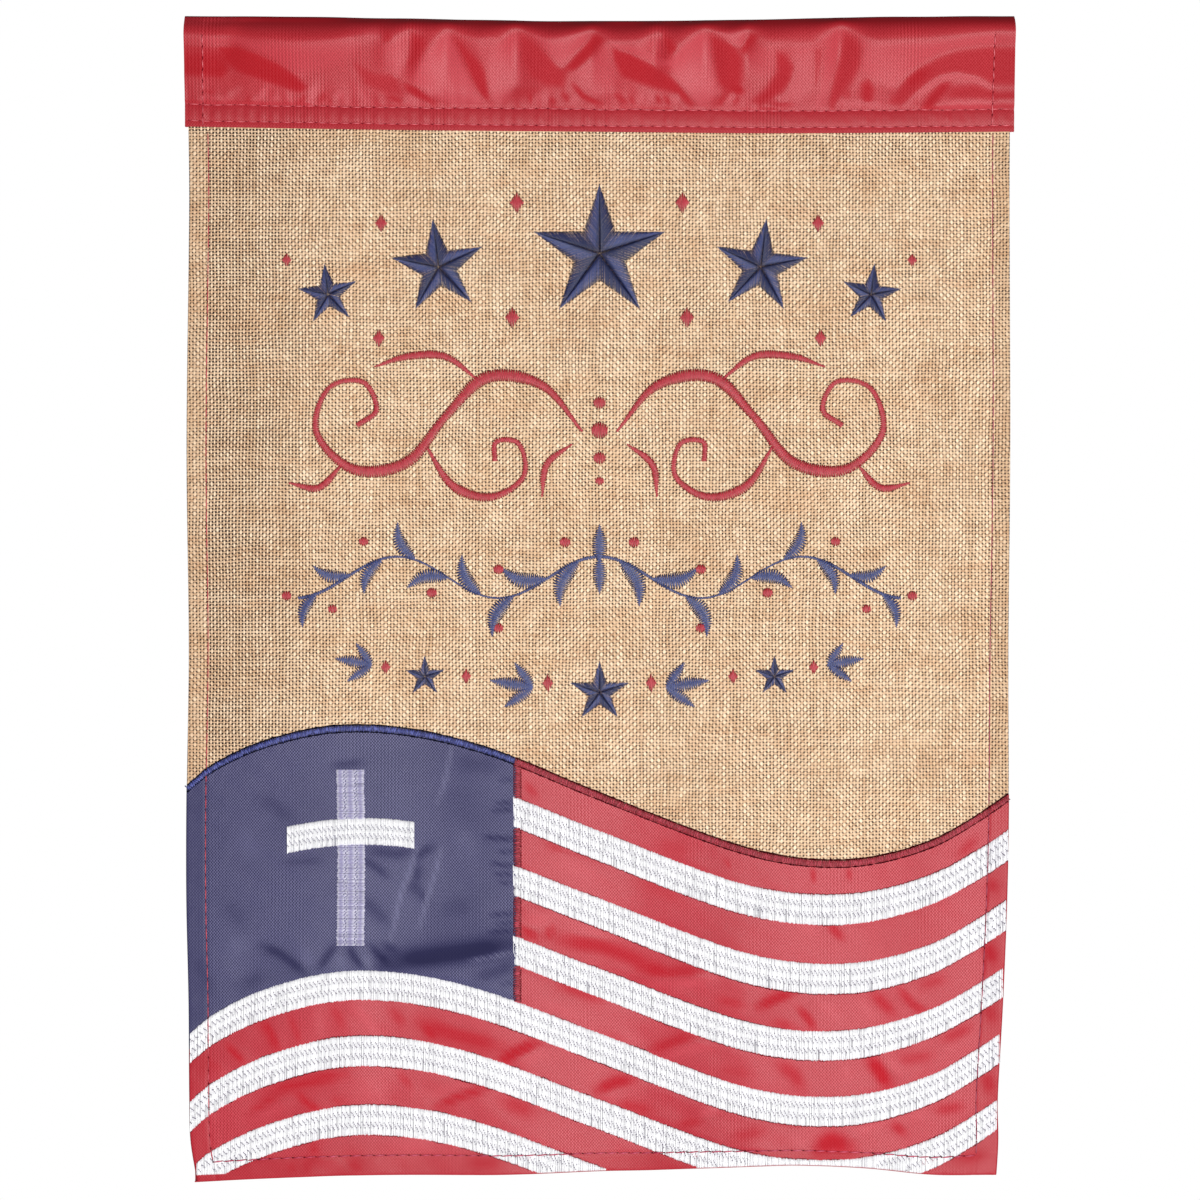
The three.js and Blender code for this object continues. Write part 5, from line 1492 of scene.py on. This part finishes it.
def fan(threads, p, q, face, side, behind, pitch=0.96, lift=0.7, high=0.34, dark=0.1, level=(0, 0.62, 0.96, 0.96, 0.62, 0), bright=1.0, least=0.78):
    """Satin threads from the points p to the points q (n, 2), lying side by side."""
    n = len(p)
    t = np.array([0, 0.1, 0.3, 0.7, 0.9, 1.0])[None]
    level = np.array(level, float)[None]
    # painted shade at the ends where the threads dive in, painted highlight over the middle
    tone = np.array([0.0, 0.45, 1.0, 1.0, 0.45, 0.0])[None]
    own = rng.uniform(least, 1.0, (n, 1)) * bright
    tone = (dark + (1 - dark) * tone) * own
    x = p[:, :1] * (1 - t) + q[:, :1] * t
    z = p[:, 1:] * (1 - t) + q[:, 1:] * t
    width = np.hypot(*(p - q).T)[:, None]
    tall = lift * np.clip(width / 6.0, 0.35, 1.25)
    y = face(x, z) + 0.15 - level * tall
    w = pitch * 1.06 * (0.75 + 0.25 * level) * rng.uniform(0.92, 1.08, (n, 1))
    threads.add(stack(x, y, z), side, UP, w, high * (0.55 + 0.45 * level), tone)
    wrong_side(behind, p, q, side, pitch)


def seam(threads, line, face, pitch, gap=1.3, wide=0.9, high=0.5, lift=0.15, tilt=0.0, out=-1, holes=None, prick=(1.3, 0.3)):
    """A row of lockstitches along a line of points (n, 2)."""
    line = np.asarray(line, float)
    seg = np.hypot(*np.diff(line, axis=0).T)
    s = np.concatenate([[0], np.cumsum(seg)])
    n = max(1, int(round(s[-1] / pitch)))
    step = s[-1] / n
    start = np.arange(n) * step + gap / 2 + rng.uniform(-0.4, 0.4, n)
    end = (np.arange(n) + 1) * step - gap / 2 + rng.uniform(-0.4, 0.4, n)
    t = np.array([0, 0.12, 0.5, 0.88, 1.0])[None]
    at = start[:, None] * (1 - t) + end[:, None] * t
    x, z = np.interp(at, s, line[:, 0]), np.interp(at, s, line[:, 1])
    dx, dz = x[:, -1] - x[:, 0], z[:, -1] - z[:, 0]
    size = np.hypot(dx, dz)
    dx, dz = dx / size, dz / size
    swing = tilt * (t - 0.5)
    x, z = x - dz[:, None] * swing, z + dx[:, None] * swing
    level = np.array([0, 0.7, 1.0, 0.7, 0])[None]
    y = face(x, z) - out * (0.25 - level * (lift + 0.25))
    side = np.stack([-dz, 0 * dz, dx], 1)[:, None]
    # painted shade at each stitch's ends, painted highlight at its middle
    tone = np.array([0.1, 0.6, 1.0, 0.6, 0.1])[None] * rng.uniform(0.8, 1.0, (n, 1))
    w = wide * (0.7 + 0.3 * level)
    threads.add(stack(x, y, z), side, out * DOWN, w, high * (0.6 + 0.4 * level), tone)
    if holes is not None:
        # dark pricks where the needle went in, between one stitch and the next
        at = (np.arange(n)[:, None] * step) + np.array([-0.75, 0, 0.75])[None]
        x, z = np.interp(at, s, line[:, 0]), np.interp(at, s, line[:, 1])
        dx, dz = x[:, -1] - x[:, 0], z[:, -1] - z[:, 0]
        size = np.maximum(np.hypot(dx, dz), 1e-6)
        side = np.stack([-dz / size, 0 * dz, dx / size], 1)[:, None]
        holes.add(stack(x, face(x, z) + out * 0.04, z), side, out * DOWN, prick[0], 0.12, prick[1])


def needle_holes_and_shadow_line(threads, x, z, face, wide=1.15, high=0.16, tone=0.5):
    """A dark line beside a satin edge: the needle holes that bite into the cloth there, and painted shadow along the
    edge.
    """
    line = np.stack([x, z], 1)
    tx, tz = np.gradient(x), np.gradient(z)
    size = np.hypot(tx, tz)
    side = np.stack([-tz / size, 0 * tx, tx / size], 1)[None]
    centre = stack(x, face(x, z) + 0.02, z)[None]
    w = wide * rng.uniform(0.55, 1.15, (1, len(line)))
    threads.add(centre, side, UP, w, high, tone * rng.uniform(0.6, 1.0, (1, len(line))))


def make_stripes():
    red_line, navy_line = Threads(), Threads()
    for k in range(1, 7):
        threads = Threads()
        start = CANTON_EDGE if k <= 3 else -356.0
        end = 356.0
        pitch = 0.96
        x = np.arange(start, end, pitch)
        x = x + rng.uniform(-0.12, 0.12, len(x))
        mid = stripe_middle(k, x)
        ok = (x > left_edge(mid) + 0.6) & (x < right_edge(mid) - 0.6)
        half = STRIPE_HALF[k - 1]
        top = mid + half + rng.uniform(-0.45, 0.45, len(x))
        foot = mid - half + rng.uniform(-0.45, 0.45, len(x))
        limit = foot_edge(x) + stripe_clip(x)
        ok &= (top > limit + 1.5) & ((k < 6) | (x < 300))
        x, top, foot, limit = x[ok], top[ok], foot[ok], limit[ok]
        index = np.arange(len(x))
        saw = (index % 4) / 3 - 0.5
        whole = top - foot
        c1 = 0.305 + 0.17 * saw + rng.uniform(-0.013, 0.013, len(x))
        c2 = 0.665 + 0.17 * ((index + 2) % 4 / 3 - 0.5) + rng.uniform(-0.013, 0.013, len(x))
        # the foot of a stripe that runs under the hem is cut by it
        cut_foot = np.maximum(foot, limit)
        share = (top - cut_foot) / whole
        lean = 0.35 * np.sin(x / 37.0)
        first = np.stack([x + lean, top], 1)
        second = np.stack([x - lean, cut_foot], 1)
        cuts = np.stack([c1, c2], 1) / share[:, None]
        full = share > 0.93
        groups = [(full, 2), (~full & (share > 0.78), 2), (~full & (share <= 0.78) & (share > 0.45), 1), (share <= 0.45, 0)]
        for which, count in groups:
            if which.sum() < 2:
                continue
            fill(
                threads,
                first[which],
                second[which],
                nylon_face,
                np.clip(cuts[which][:, :count], 0.05, 0.95),
                lift=0.62,
                wide=0.97,
                high=0.36,
            )
        base = np.stack([top - 0.8, 0.5 * (top + cut_foot), cut_foot + 0.8])
        bx = np.broadcast_to(x, base.shape)
        under = nylon_face(bx, base)
        o = solid_of(
            f"stripe_{k}_underlay",
            stack(bx, under - 0.14, base)[:, ::2],
            stack(bx, under + 0.05, base)[:, ::2],
        )
        o.data.materials.append(UNDERLAY)
        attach(o, "root")
        threads.make(f"stripe_{k}", WHITE_THREAD, "white_thread")
        # painted shadow lines with needle holes along the stripes' edges
        for edge, off in ((top, 0.25), (foot, -0.25)):
            clear = edge + off > limit + 2.5
            sx, sz = x[clear][::2], (edge + off)[clear][::2]
            over_navy = (sx < CANTON_RIGHT) & (k == 4) & (off > 0)
            for lines, which in ((navy_line, over_navy), (red_line, ~over_navy)):
                wx, wz = sx[which], sz[which]
                for part in np.split(np.arange(len(wx)), np.flatnonzero(np.diff(wx) > 6) + 1):
                    if len(part) > 8:
                        needle_holes_and_shadow_line(lines, wx[part], wz[part], nylon_face)
    red_line.make("stripe_edges", SHADE_THREAD, "red_thread")
    navy_line.make("stripe_edge_on_canton", DARK_THREAD, "navy_thread")


CROSS = dict(left=-228.3, right=-203.9, top=-650.8, foot=-803.4)


def make_cross():
    threads = Threads()
    z = np.arange(CROSS["foot"], CROSS["top"], 0.98)
    n = len(z)
    z = z + rng.uniform(-0.1, 0.1, n)
    drift = 0.5 * np.sin(z / 31.0)
    first = np.stack([CROSS["left"] + drift + rng.uniform(-0.5, 0.5, n), z], 1)
    second = np.stack([CROSS["right"] + drift + rng.uniform(-0.5, 0.5, n), z], 1)
    i = np.arange(n)
    cuts = np.stack(
        [c + 0.08 * (((i + o) % 3) / 2 - 0.5) + rng.uniform(-0.02, 0.02, n) for c, o in ((0.3, 0), (0.68, 1))], 1
    )
    arm = np.abs(z + 705.0) < 10.5
    for which in (~arm,):
        fill(threads, first[which], second[which], nylon_face, cuts[which], 0.5, 0.88, 0.34, middle=0.5, ends=1.0)
    threads.make("cross_upright", LILAC_THREAD, "white_thread")
    threads = Threads()
    x = np.arange(-271.0, -161.4, 0.96)
    n = len(x)
    x = x + rng.uniform(-0.1, 0.1, n)
    t = (x + 216.2) / 54.8
    mid = -704.9 - 5.2 * t * t + 2.0 * t
    i = np.arange(n)
    first = np.stack([x, mid + 11.7 + rng.uniform(-0.35, 0.35, n)], 1)
    second = np.stack([x, mid - 11.7 + rng.uniform(-0.35, 0.35, n)], 1)
    cuts = np.stack(
        [c + 0.17 * ((i + o) % 4 / 3 - 0.5) + rng.uniform(-0.012, 0.012, n) for c, o in ((0.345, 0), (0.665, 2))], 1
    )
    fill(threads, first, second, nylon_face, cuts, 0.72, 0.95, 0.36)
    threads.make("cross_arm", WHITE_THREAD, "white_thread")


def make_borders():
    x = np.linspace(float(left_edge(-660.0)) + 0.6, CANTON_RIGHT - 2.2, 160)
    threads = Threads()
    satin(threads, np.stack([x, wave_edge(x) - 2.2], 1), 2.6, nylon_face, lift=0.95, rough=0.85, lean=0.5, least=0.45)
    threads.make("canton_border", ROYAL_THREAD, "navy_thread")
    # painted shadow lines with needle holes along both sides of the border
    dark = Threads()
    needle_holes_and_shadow_line(dark, x, wave_edge(x) + 0.7, burlap_face, 2.1, 0.35)
    needle_holes_and_shadow_line(dark, x, wave_edge(x) - 5.3, nylon_face, 1.8, 0.25)
    dark.make("canton_border_edges", DARK_THREAD, "navy_thread")
    threads = Threads()
    x = np.linspace(CANTON_RIGHT - 1.8, float(right_edge(-680.0)) - 0.6, 220)
    satin(threads, np.stack([x, wave_edge(x) - 2.3], 1), 2.75, nylon_face, "red", lift=0.95, rough=0.85, lean=0.5, least=0.4)
    # painted shadow lines with needle holes along both sides of the border
    dark = Threads()
    needle_holes_and_shadow_line(dark, x, wave_edge(x) + 0.8, burlap_face, 1.9, 0.35, 0.15)
    needle_holes_and_shadow_line(dark, x, wave_edge(x) - 5.5, nylon_face, 1.5, 0.25, 0.15)
    x0 = -71.4
    top = float(wave_edge(x0)) - 3.0
    stops = [top]
    for k in (1, 2, 3):
        m = float(stripe_middle(k, x0))
        stops += [m + STRIPE_HALF[k - 1] - 0.3, m - STRIPE_HALF[k - 1] + 0.3]
    stops.append(float(stripe_middle(4, x0)) + STRIPE_HALF[3] - 0.3)
    for a, b in zip(stops[::2], stops[1::2]):
        z = np.linspace(a, b, 40)
        satin(threads, np.stack([x0 + 0 * z, z], 1), 2.9, nylon_face, "red", lift=0.95, rough=0.85, lean=0.5, least=0.4)
        needle_holes_and_shadow_line(dark, x0 - 3.1 + 0 * z, z, nylon_face, 0.9, 0.2)
        needle_holes_and_shadow_line(dark, x0 + 3.1 + 0 * z, z, nylon_face, 0.9, 0.2)
    threads.make("field_border", BORDER_THREAD, "red_thread")
    dark.make("field_border_edges", SHADE_THREAD, "red_thread")


# ------------------------------------------------------------------ ornament on the burlap
def smooth_line(points, step=1.5):
    """A smooth line through the points."""
    p = np.array(points, float)
    p = np.concatenate([[2 * p[0] - p[1]], p, [2 * p[-1] - p[-2]]])
    out = []
    for k in range(1, len(p) - 2):
        n = max(2, int(np.hypot(*(p[k + 1] - p[k])) / step))
        t = (np.arange(n) / n)[:, None]
        a, b, c, d = p[k - 1 : k + 3]
        out.append(
            0.5
            * (
                2 * b
                + (c - a) * t
                + (2 * a - 5 * b + 4 * c - d) * t * t
                + (3 * b - a - 3 * c + d) * t**3
            )
        )
    out.append(p[-2:-1])
    return np.concatenate(out)


def flip(points, side):
    return np.array(points, float) * np.array([side, 1.0])


def star(threads, x, z, r, turn=90.0):
    """A five-pointed star of ten faces, each stitched out from its ridge."""
    centre = np.array([x, z])
    for k in range(5):
        a = math.radians(turn + 72 * k)
        tip = centre + r * np.array([math.cos(a), math.sin(a)])
        for way in (-1, 1):
            b = a + way * math.radians(36)
            notch = centre + 0.4 * r * np.array([math.cos(b), math.sin(b)])
            n = int(r / 0.98)
            s = ((np.arange(n) + 0.5) / n)[:, None] ** 0.96
            p = centre + (tip - centre) * s
            q = notch + (tip - notch) * s
            q = q + rng.uniform(-0.25, 0.25, q.shape)
            along = (tip - centre) / r
            side = np.array([along[0], 0, along[1]])[None, None]
            # painted shade: one half of each point is darker, standing for light on the stitches' other direction
            fan(
                threads, p, q, burlap_face, side, "navy", 0.96, 0.85, 0.34, 0.12,
                (0.5, 0.95, 1.0, 0.85, 0.55, 0.0), 1.0 if way > 0 else 0.66,
            )


def leaf(threads, base, turn, length, wide, bend=0.0):
    """A pointed leaf in satin stitch, from its base, along turn in degrees."""
    t = np.linspace(0, 1, 24)
    a = math.radians(turn)
    u, v = t * length, bend * length * np.sin(np.pi * t) / 3
    x = base[0] + u * math.cos(a) - v * math.sin(a)
    z = base[1] + u * math.sin(a) + v * math.cos(a)
    half = 0.35 + wide / 2 * np.sin(np.pi * t**0.8) ** 0.9
    satin(threads, np.stack([x, z], 1), half, burlap_face, lift=0.75, lean=0.5)


def berry(threads, x, z, r):
    t = np.linspace(-1, 1, 15)
    line = np.stack([x + 0.94 * r * t, z + 0 * t], 1)
    half = r * np.sqrt(np.clip(1 - (0.94 * t) ** 2, 0.05, 1))
    satin(threads, line, half, burlap_face, "red", lift=0.9, rough=0.1)


def lozenge(threads, x, z, wide, tall):
    t = np.linspace(-1, 1, 21)
    line = np.stack([x + wide / 2 * t, z + 0 * t], 1)
    satin(threads, line, 0.4 + tall / 2 * (1 - np.abs(t)), burlap_face, "red", lift=0.8, rough=0.15)


STARS = [(0, -202, 60), (140, -214, 42), (236, -238, 27)]
SPECKS = [(72, -158, 12, 19), (76, -258, 12, 19), (190, -176, 10, 16), (192, -276, 10, 16), (272, -208, 8, 12)]
SCROLLS = [
    dict(
        line=[(15, -357), (50, -317), (98, -310), (134, -344), (168, -384), (214, -390), (246, -358), (236, -320), (206, -314), (194, -338), (211, -352)],
        half=[1.2, 3.4, 5.6, 5.6, 3.8, 5.0, 5.6, 4.2, 3.0, 2.4, 2.6, 2.8],
    ),
    dict(line=[(104, -314), (134, -292), (168, -292), (196, -301)], half=[0.8, 2.8, 3.9, 3.2, 0.8]),
    dict(line=[(152, -368), (128, -404), (94, -414), (66, -396), (70, -368), (90, -366), (91, -383)], half=[1.0, 3.0, 4.6, 3.8, 2.8, 2.4, 2.6, 2.6]),
    dict(line=[(224, -386), (244, -406), (270, -402)], half=[1.0, 3.4, 3.4, 0.8]),
    dict(line=[(24, -368), (46, -386), (50, -414)], half=[0.8, 3.2, 3.4, 0.8]),
]


def vine_height(x):
    return -484 + 18 * np.cos(2 * np.pi * x / 176)


def make_ornament():
    navy, red = Threads(), Threads()
    for x, z, r in STARS:
        for side in (-1, 1) if x else (1,):
            star(navy, side * x, z, r, 90 - side * (x > 0) * 7)
    for x, z, w, h in SPECKS:
        for side in (-1, 1):
            lozenge(red, side * x, z, w, h)
    navy.make("star_stitches", NAVY_THREAD, "navy_thread")
    navy = Threads()
    for row in SCROLLS:
        for side in (-1, 1):
            satin(red, flip(smooth_line(row["line"]), side), row["half"], burlap_face, "red", lift=0.9, rough=0.25)
    for z, r in ((-332, 5.5), (-356, 7.5), (-380, 5.5), (-400, 3.8)):
        berry(red, 0, z, r)
    # a waving vine with leaves on both sides
    x = np.linspace(-262, 262, 330)
    satin(navy, np.stack([x, vine_height(x)], 1), 1.35 + 0.4 * np.cos(x / 40), burlap_face, "navy", 1.05, 0.6, 0.3, rough=0.1)
    for side in (-1, 1):
        for k in range(9):
            at = 18 + 28.5 * k
            slope = math.degrees(math.atan2(float(vine_height(at + 1) - vine_height(at - 1)), 2))
            way = 1 if k % 2 else -1
            turn = slope + way * 46
            leaf(
                navy,
                (side * at, float(vine_height(at)) + way * 0.8),
                turn if side > 0 else 180 - turn,
                42 - 1.4 * k,
                14.5 - 0.5 * k,
                -0.5 * way * side,
            )
        for at, off, r in ((30, 22, 4.8), (88, 25, 4.6), (88, -26, 4.4), (146, -22, 4.6), (205, 22, 4.2), (232, -20, 4.0), (272, 2, 4.4)):
            berry(red, side * at, float(vine_height(min(at, 262))) + off, r)
    leaf(navy, (0, -470), 90, 32, 13)
    leaf(navy, (0, -468), -90, 30, 12)
    # the lowest row
    star(navy, 0, -584, 27)
    for side in (-1, 1):
        star(navy, side * 152, -570, 18)
        for at, z, w, h in ((45, -576, 9, 16), (116, -570, 8, 14), (186, -562, 8, 13)):
            lozenge(red, side * at, z, w, h)
        for at, z, k in ((58, -580, 1.0), (198, -560, 0.85)):
            for turn, length, wide in ((10, 38, 12), (-34, 30, 10.5), (54, 27, 10)):
                leaf(navy, (side * at, z), turn if side > 0 else 180 - turn, k * length, k * wide)
    navy.make("vine_stitches", NAVY_THREAD, "navy_thread")
    red.make("scroll_stitches", RED_THREAD, "red_thread")


def sleeve_behind(x, z):
    return hang(x, np.minimum(z, HANG_TOP)) + 2.0 + 0.5 * sleeve_relief(-x * 0.93, z, 1.0 + 0 * x)


def hem_back(x, z):
    """The back of the turned hems: burlap above, the nylon's turning below."""
    nylon = z < wave_edge(x) - 1
    return hang(x, z) + np.where(nylon, 2.35, 1.55)


def make_turnings():
    """The nylon turned round the hems to the back."""
    profile = [(0.9, -1.78), (0.25, -1.42), (-0.2, -0.6), (-0.26, 0.4), (-0.14, 1.4), (0.3, 2.05), (1.1, 2.28), (6, 2.32), (12, 2.3), (16.2, 2.28), (16.9, 1.9)]

    def strip(name, ends, place, material, lift=0.0):
        rows = np.linspace(*ends)
        outer = []
        for k, (d, y) in enumerate(profile):
            x, z = place(rows, d)
            outer.append(stack(x, hang(x, z) + y + (lift if y > 1.9 else 0), z))
        outer = np.stack(outer, 1)
        # rows run along the edge and columns round it; the inner face is 0.4 in from the outer one
        a, b = np.gradient(outer, axis=0), np.gradient(outer, axis=1)
        normal = np.cross(a, b)
        normal /= np.linalg.norm(normal, axis=2, keepdims=True)
        if normal[len(rows) // 2, -3, 1] < 0:
            normal = -normal
            outer, normal = outer[::-1], normal[::-1]
        o = solid_of(name, outer, outer - 0.4 * normal, values={"hem": np.full(outer.shape[:2], 0.6)}, sharp=60)
        o.data.materials.append(material)
        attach(o, "root")

    def left(z, d):
        return left_edge(z) + d, z + 0 * d

    def right(z, d):
        return right_edge(z) - d, z + 0 * d

    def foot(x, d):
        return x + 0 * d, foot_edge(x) + d

    folded = Threads()
    for k in range(1, 7):
        for edge, way in ((left_edge, 1), (right_edge, -1)):
            d = np.arange(0.2, 16.4, 1.0)
            if way > 0 and k < 4:
                continue
            z0 = float(stripe_middle(k, float(edge(-900.0))))
            if z0 < float(foot_edge(-352.0 if way > 0 else 346.0)) + 8:
                continue
            x0 = edge(z0)
            mid = stripe_middle(k, x0 - way * d)
            x = x0 + way * d
            half = STRIPE_HALF[k - 1]
            low = np.maximum(mid - half, foot_edge(x) + 17.5)
            ok = mid + half > low + 4
            t = np.array([0, 0.08, 0.34, 0.36, 0.64, 0.66, 0.92, 1.0])[None]
            level = np.array([0, 0.8, 1, 0.3, 0.3, 1, 0.8, 0])[None]
            x, top, low = (v[ok][:, None] for v in (x, mid + half, low))
            z = top * (1 - t) + low * t
            y = hang(x, z) + 2.2 + 0.55 * level
            # painted shade at the ends, painted highlight at the middle
            tone = (0.3 + 0.7 * level) * rng.uniform(0.85, 1, x.shape)
            folded.add(stack(x + 0 * t, y, z), np.array([1.0, 0, 0]), DOWN, 0.98, 0.3, tone)
    folded.make("stripes_on_turnings", WHITE_THREAD, "white_thread")
    lx, rx = float(left_edge(-660.0)), float(right_edge(-680.0))
    canton_end = float(canton_foot(np.array(lx)))
    strip("canton_turning", (float(wave_edge(lx)) - 1, canton_end, 60), left, NAVY_NYLON)
    strip("field_turning_left", (canton_end - 0.3, float(foot_edge(-350.0)) + 1.2, 40), left, RED_NYLON)
    strip("field_turning_right", (float(wave_edge(rx)) - 1, float(foot_edge(345.0)) + 1.2, 90), right, RED_NYLON)
    strip("field_turning_foot", (-352.5, 343.5, 180), foot, RED_NYLON, 0.42)


def on_top(x, z):
    """The face of whatever cloth or stripe lies on top here."""
    nylon = z < wave_edge(x) - 1
    y = np.where(nylon, nylon_face(x, z), burlap_face(x, z))
    return y - np.where(nylon, 0.75 * stripe_pull(x, z), 0)


def make_seams():
    z = np.linspace(-97.0, -992, 900)
    left = np.stack([seam_left(z), z], 1)
    left = left[left[:, 1] < sleeve_foot(left[:, 0]) - 0.5]
    left = left[left[:, 1] > seam_foot(left[:, 0])]
    right = np.stack([seam_right(z), z], 1)
    right = right[right[:, 1] < sleeve_foot(right[:, 0]) - 0.5]
    right = right[right[:, 1] > seam_foot(right[:, 0])]
    holes = Threads()
    for name, line, material in (("left", left, SEAM_THREAD), ("right", right, WINE_THREAD)):
        threads = Threads()
        seam(threads, line, on_top, 11.3, gap=1.0, wide=1.0, holes=holes, prick=(1.1, 0.7))
        seam(threads, line, hem_back, 11.3, gap=1.0, out=1)
        threads.make(f"side_seam_{name}", material, "red_thread")
    threads = Threads()
    x = np.linspace(float(seam_left(-990.0)), float(seam_right(-990.0)), 400)
    foot = np.stack([x, seam_foot(x)], 1)
    seam(threads, foot, on_top, 10.1, gap=0.8, wide=1.15, tilt=0.8, holes=holes)
    seam(threads, foot, hem_back, 10.1, gap=0.6, out=1)
    threads.make("foot_seam", PLUM_THREAD, "red_thread")
    threads = Threads()
    x = np.linspace(-SLEEVE_HALF + 3, SLEEVE_HALF - 2, 500)
    pricks = Threads()
    for row in (sleeve_seam, sleeve_seam_low):
        line = np.stack([x, row(x)], 1)
        seam(threads, line, sleeve_front, 10.1, gap=2.0, wide=1.05, holes=pricks, prick=(1.0, 0.9))
        seam(threads, line, sleeve_behind, 10.1, gap=1.6, wide=0.9, out=1)
    for end in (sleeve_end_left, sleeve_end_right):
        z = np.linspace(-14, -92, 60)
        seam(threads, np.stack([end(z), z], 1), sleeve_wall, 9.6, gap=1.8, wide=1.2, lift=0.3, tilt=0.5, holes=pricks, prick=(1.0, 0.9))
    threads.make("sleeve_seams", PALE_RED_THREAD, "red_thread")
    holes.make("needle_pricks", SHADE_THREAD, "red_thread")
    pricks.make("sleeve_pricks", SHADE_THREAD, "red_thread")


# ------------------------------------------------------------------ room
def make_room():
    camera = bpy.data.cameras.new("camera")
    camera.type = "PERSP"
    camera.sensor_width = 36
    camera.lens = 36 * 3.0 / 1.044
    eye = bpy.data.objects.new("camera", camera)
    eye.location = (0.0004, -3.0, -0.5037)
    eye.rotation_euler = (math.pi / 2, 0, 0)
    bpy.context.scene.collection.objects.link(eye)
    bpy.context.scene.camera = eye

    def area(name, at, look, size, power, color=(1, 1, 1)):
        light = bpy.data.lights.new(name, "AREA")
        light.shape = "RECTANGLE"
        light.size, light.size_y = size
        light.energy = power
        light.color = color
        o = bpy.data.objects.new(name, light)
        o.location = at
        d = np.array(look, float) - np.array(at, float)
        pitch = math.atan2(math.hypot(d[0], d[1]), -d[2])
        o.rotation_euler = (pitch, 0, math.atan2(d[1], d[0]) - math.pi / 2)
        bpy.context.scene.collection.objects.link(o)
        return o

    area("key", (1.9, -6.0, -2.4), (0, 0, -0.5), (1.8, 1.8), 320)
    area("front", (0.3, -3.7, -0.6), (0, 0, -0.5), (0.8, 0.8), 100)
    area("behind", (0.6, 4.4, -0.9), (0, 0, -0.5), (2.4, 2.4), 210)
    world = bpy.data.worlds.new("room")
    bpy.context.scene.world = world
    world.use_nodes = True
    t = world.node_tree
    t.nodes.clear()
    out = t.nodes.new("ShaderNodeOutputWorld")
    mix = t.nodes.new("ShaderNodeMixShader")
    path = t.nodes.new("ShaderNodeLightPath")
    lit = t.nodes.new("ShaderNodeBackground")
    seen = t.nodes.new("ShaderNodeBackground")
    lit.inputs[0].default_value = (0.96, 0.98, 1, 1)
    lit.inputs[1].default_value = 0.13
    seen.inputs[0].default_value = (1, 1, 1, 1)
    seen.inputs[1].default_value = 1.0
    t.links.new(path.outputs["Is Camera Ray"], mix.inputs[0])
    t.links.new(lit.outputs[0], mix.inputs[1])
    t.links.new(seen.outputs[0], mix.inputs[2])
    t.links.new(mix.outputs[0], out.inputs[0])
    # pale floor under the flag
    f = Finish("floor_paint", Roughness=0.8, Emission_Color=(1, 1, 1, 1), Emission_Strength=0.15)
    grain = f.noise(f.place, 30.0, 3.0)
    f.put(f.b.inputs["Base Color"], f.mix(grain, (0.8, 0.8, 0.8, 1), (0.84, 0.84, 0.84, 1)))
    verts = np.array([(x, y, -3000) for x, y in ((-3500, -2900), (3500, -2900), (3500, 3400), (-3500, 3400))], float)
    floor = mesh_of("floor", verts, [np.array([[0, 1, 2, 3]])])
    floor.data.materials.append(f.m)
    bpy.context.scene.view_settings.view_transform = "Standard"
    bpy.context.scene.view_settings.look = "None"


make_room()
make_panel()
make_nylon()
make_sleeve()
make_stripes()
make_cross()
make_borders()
make_ornament()
make_turnings()
make_seams()
for key, material in (("white", WHITE_THREAD), ("navy", NAVY_THREAD), ("red", RED_THREAD)):
    BEHIND[key].make(f"{key}_stitches_behind", material, f"{key}_thread")
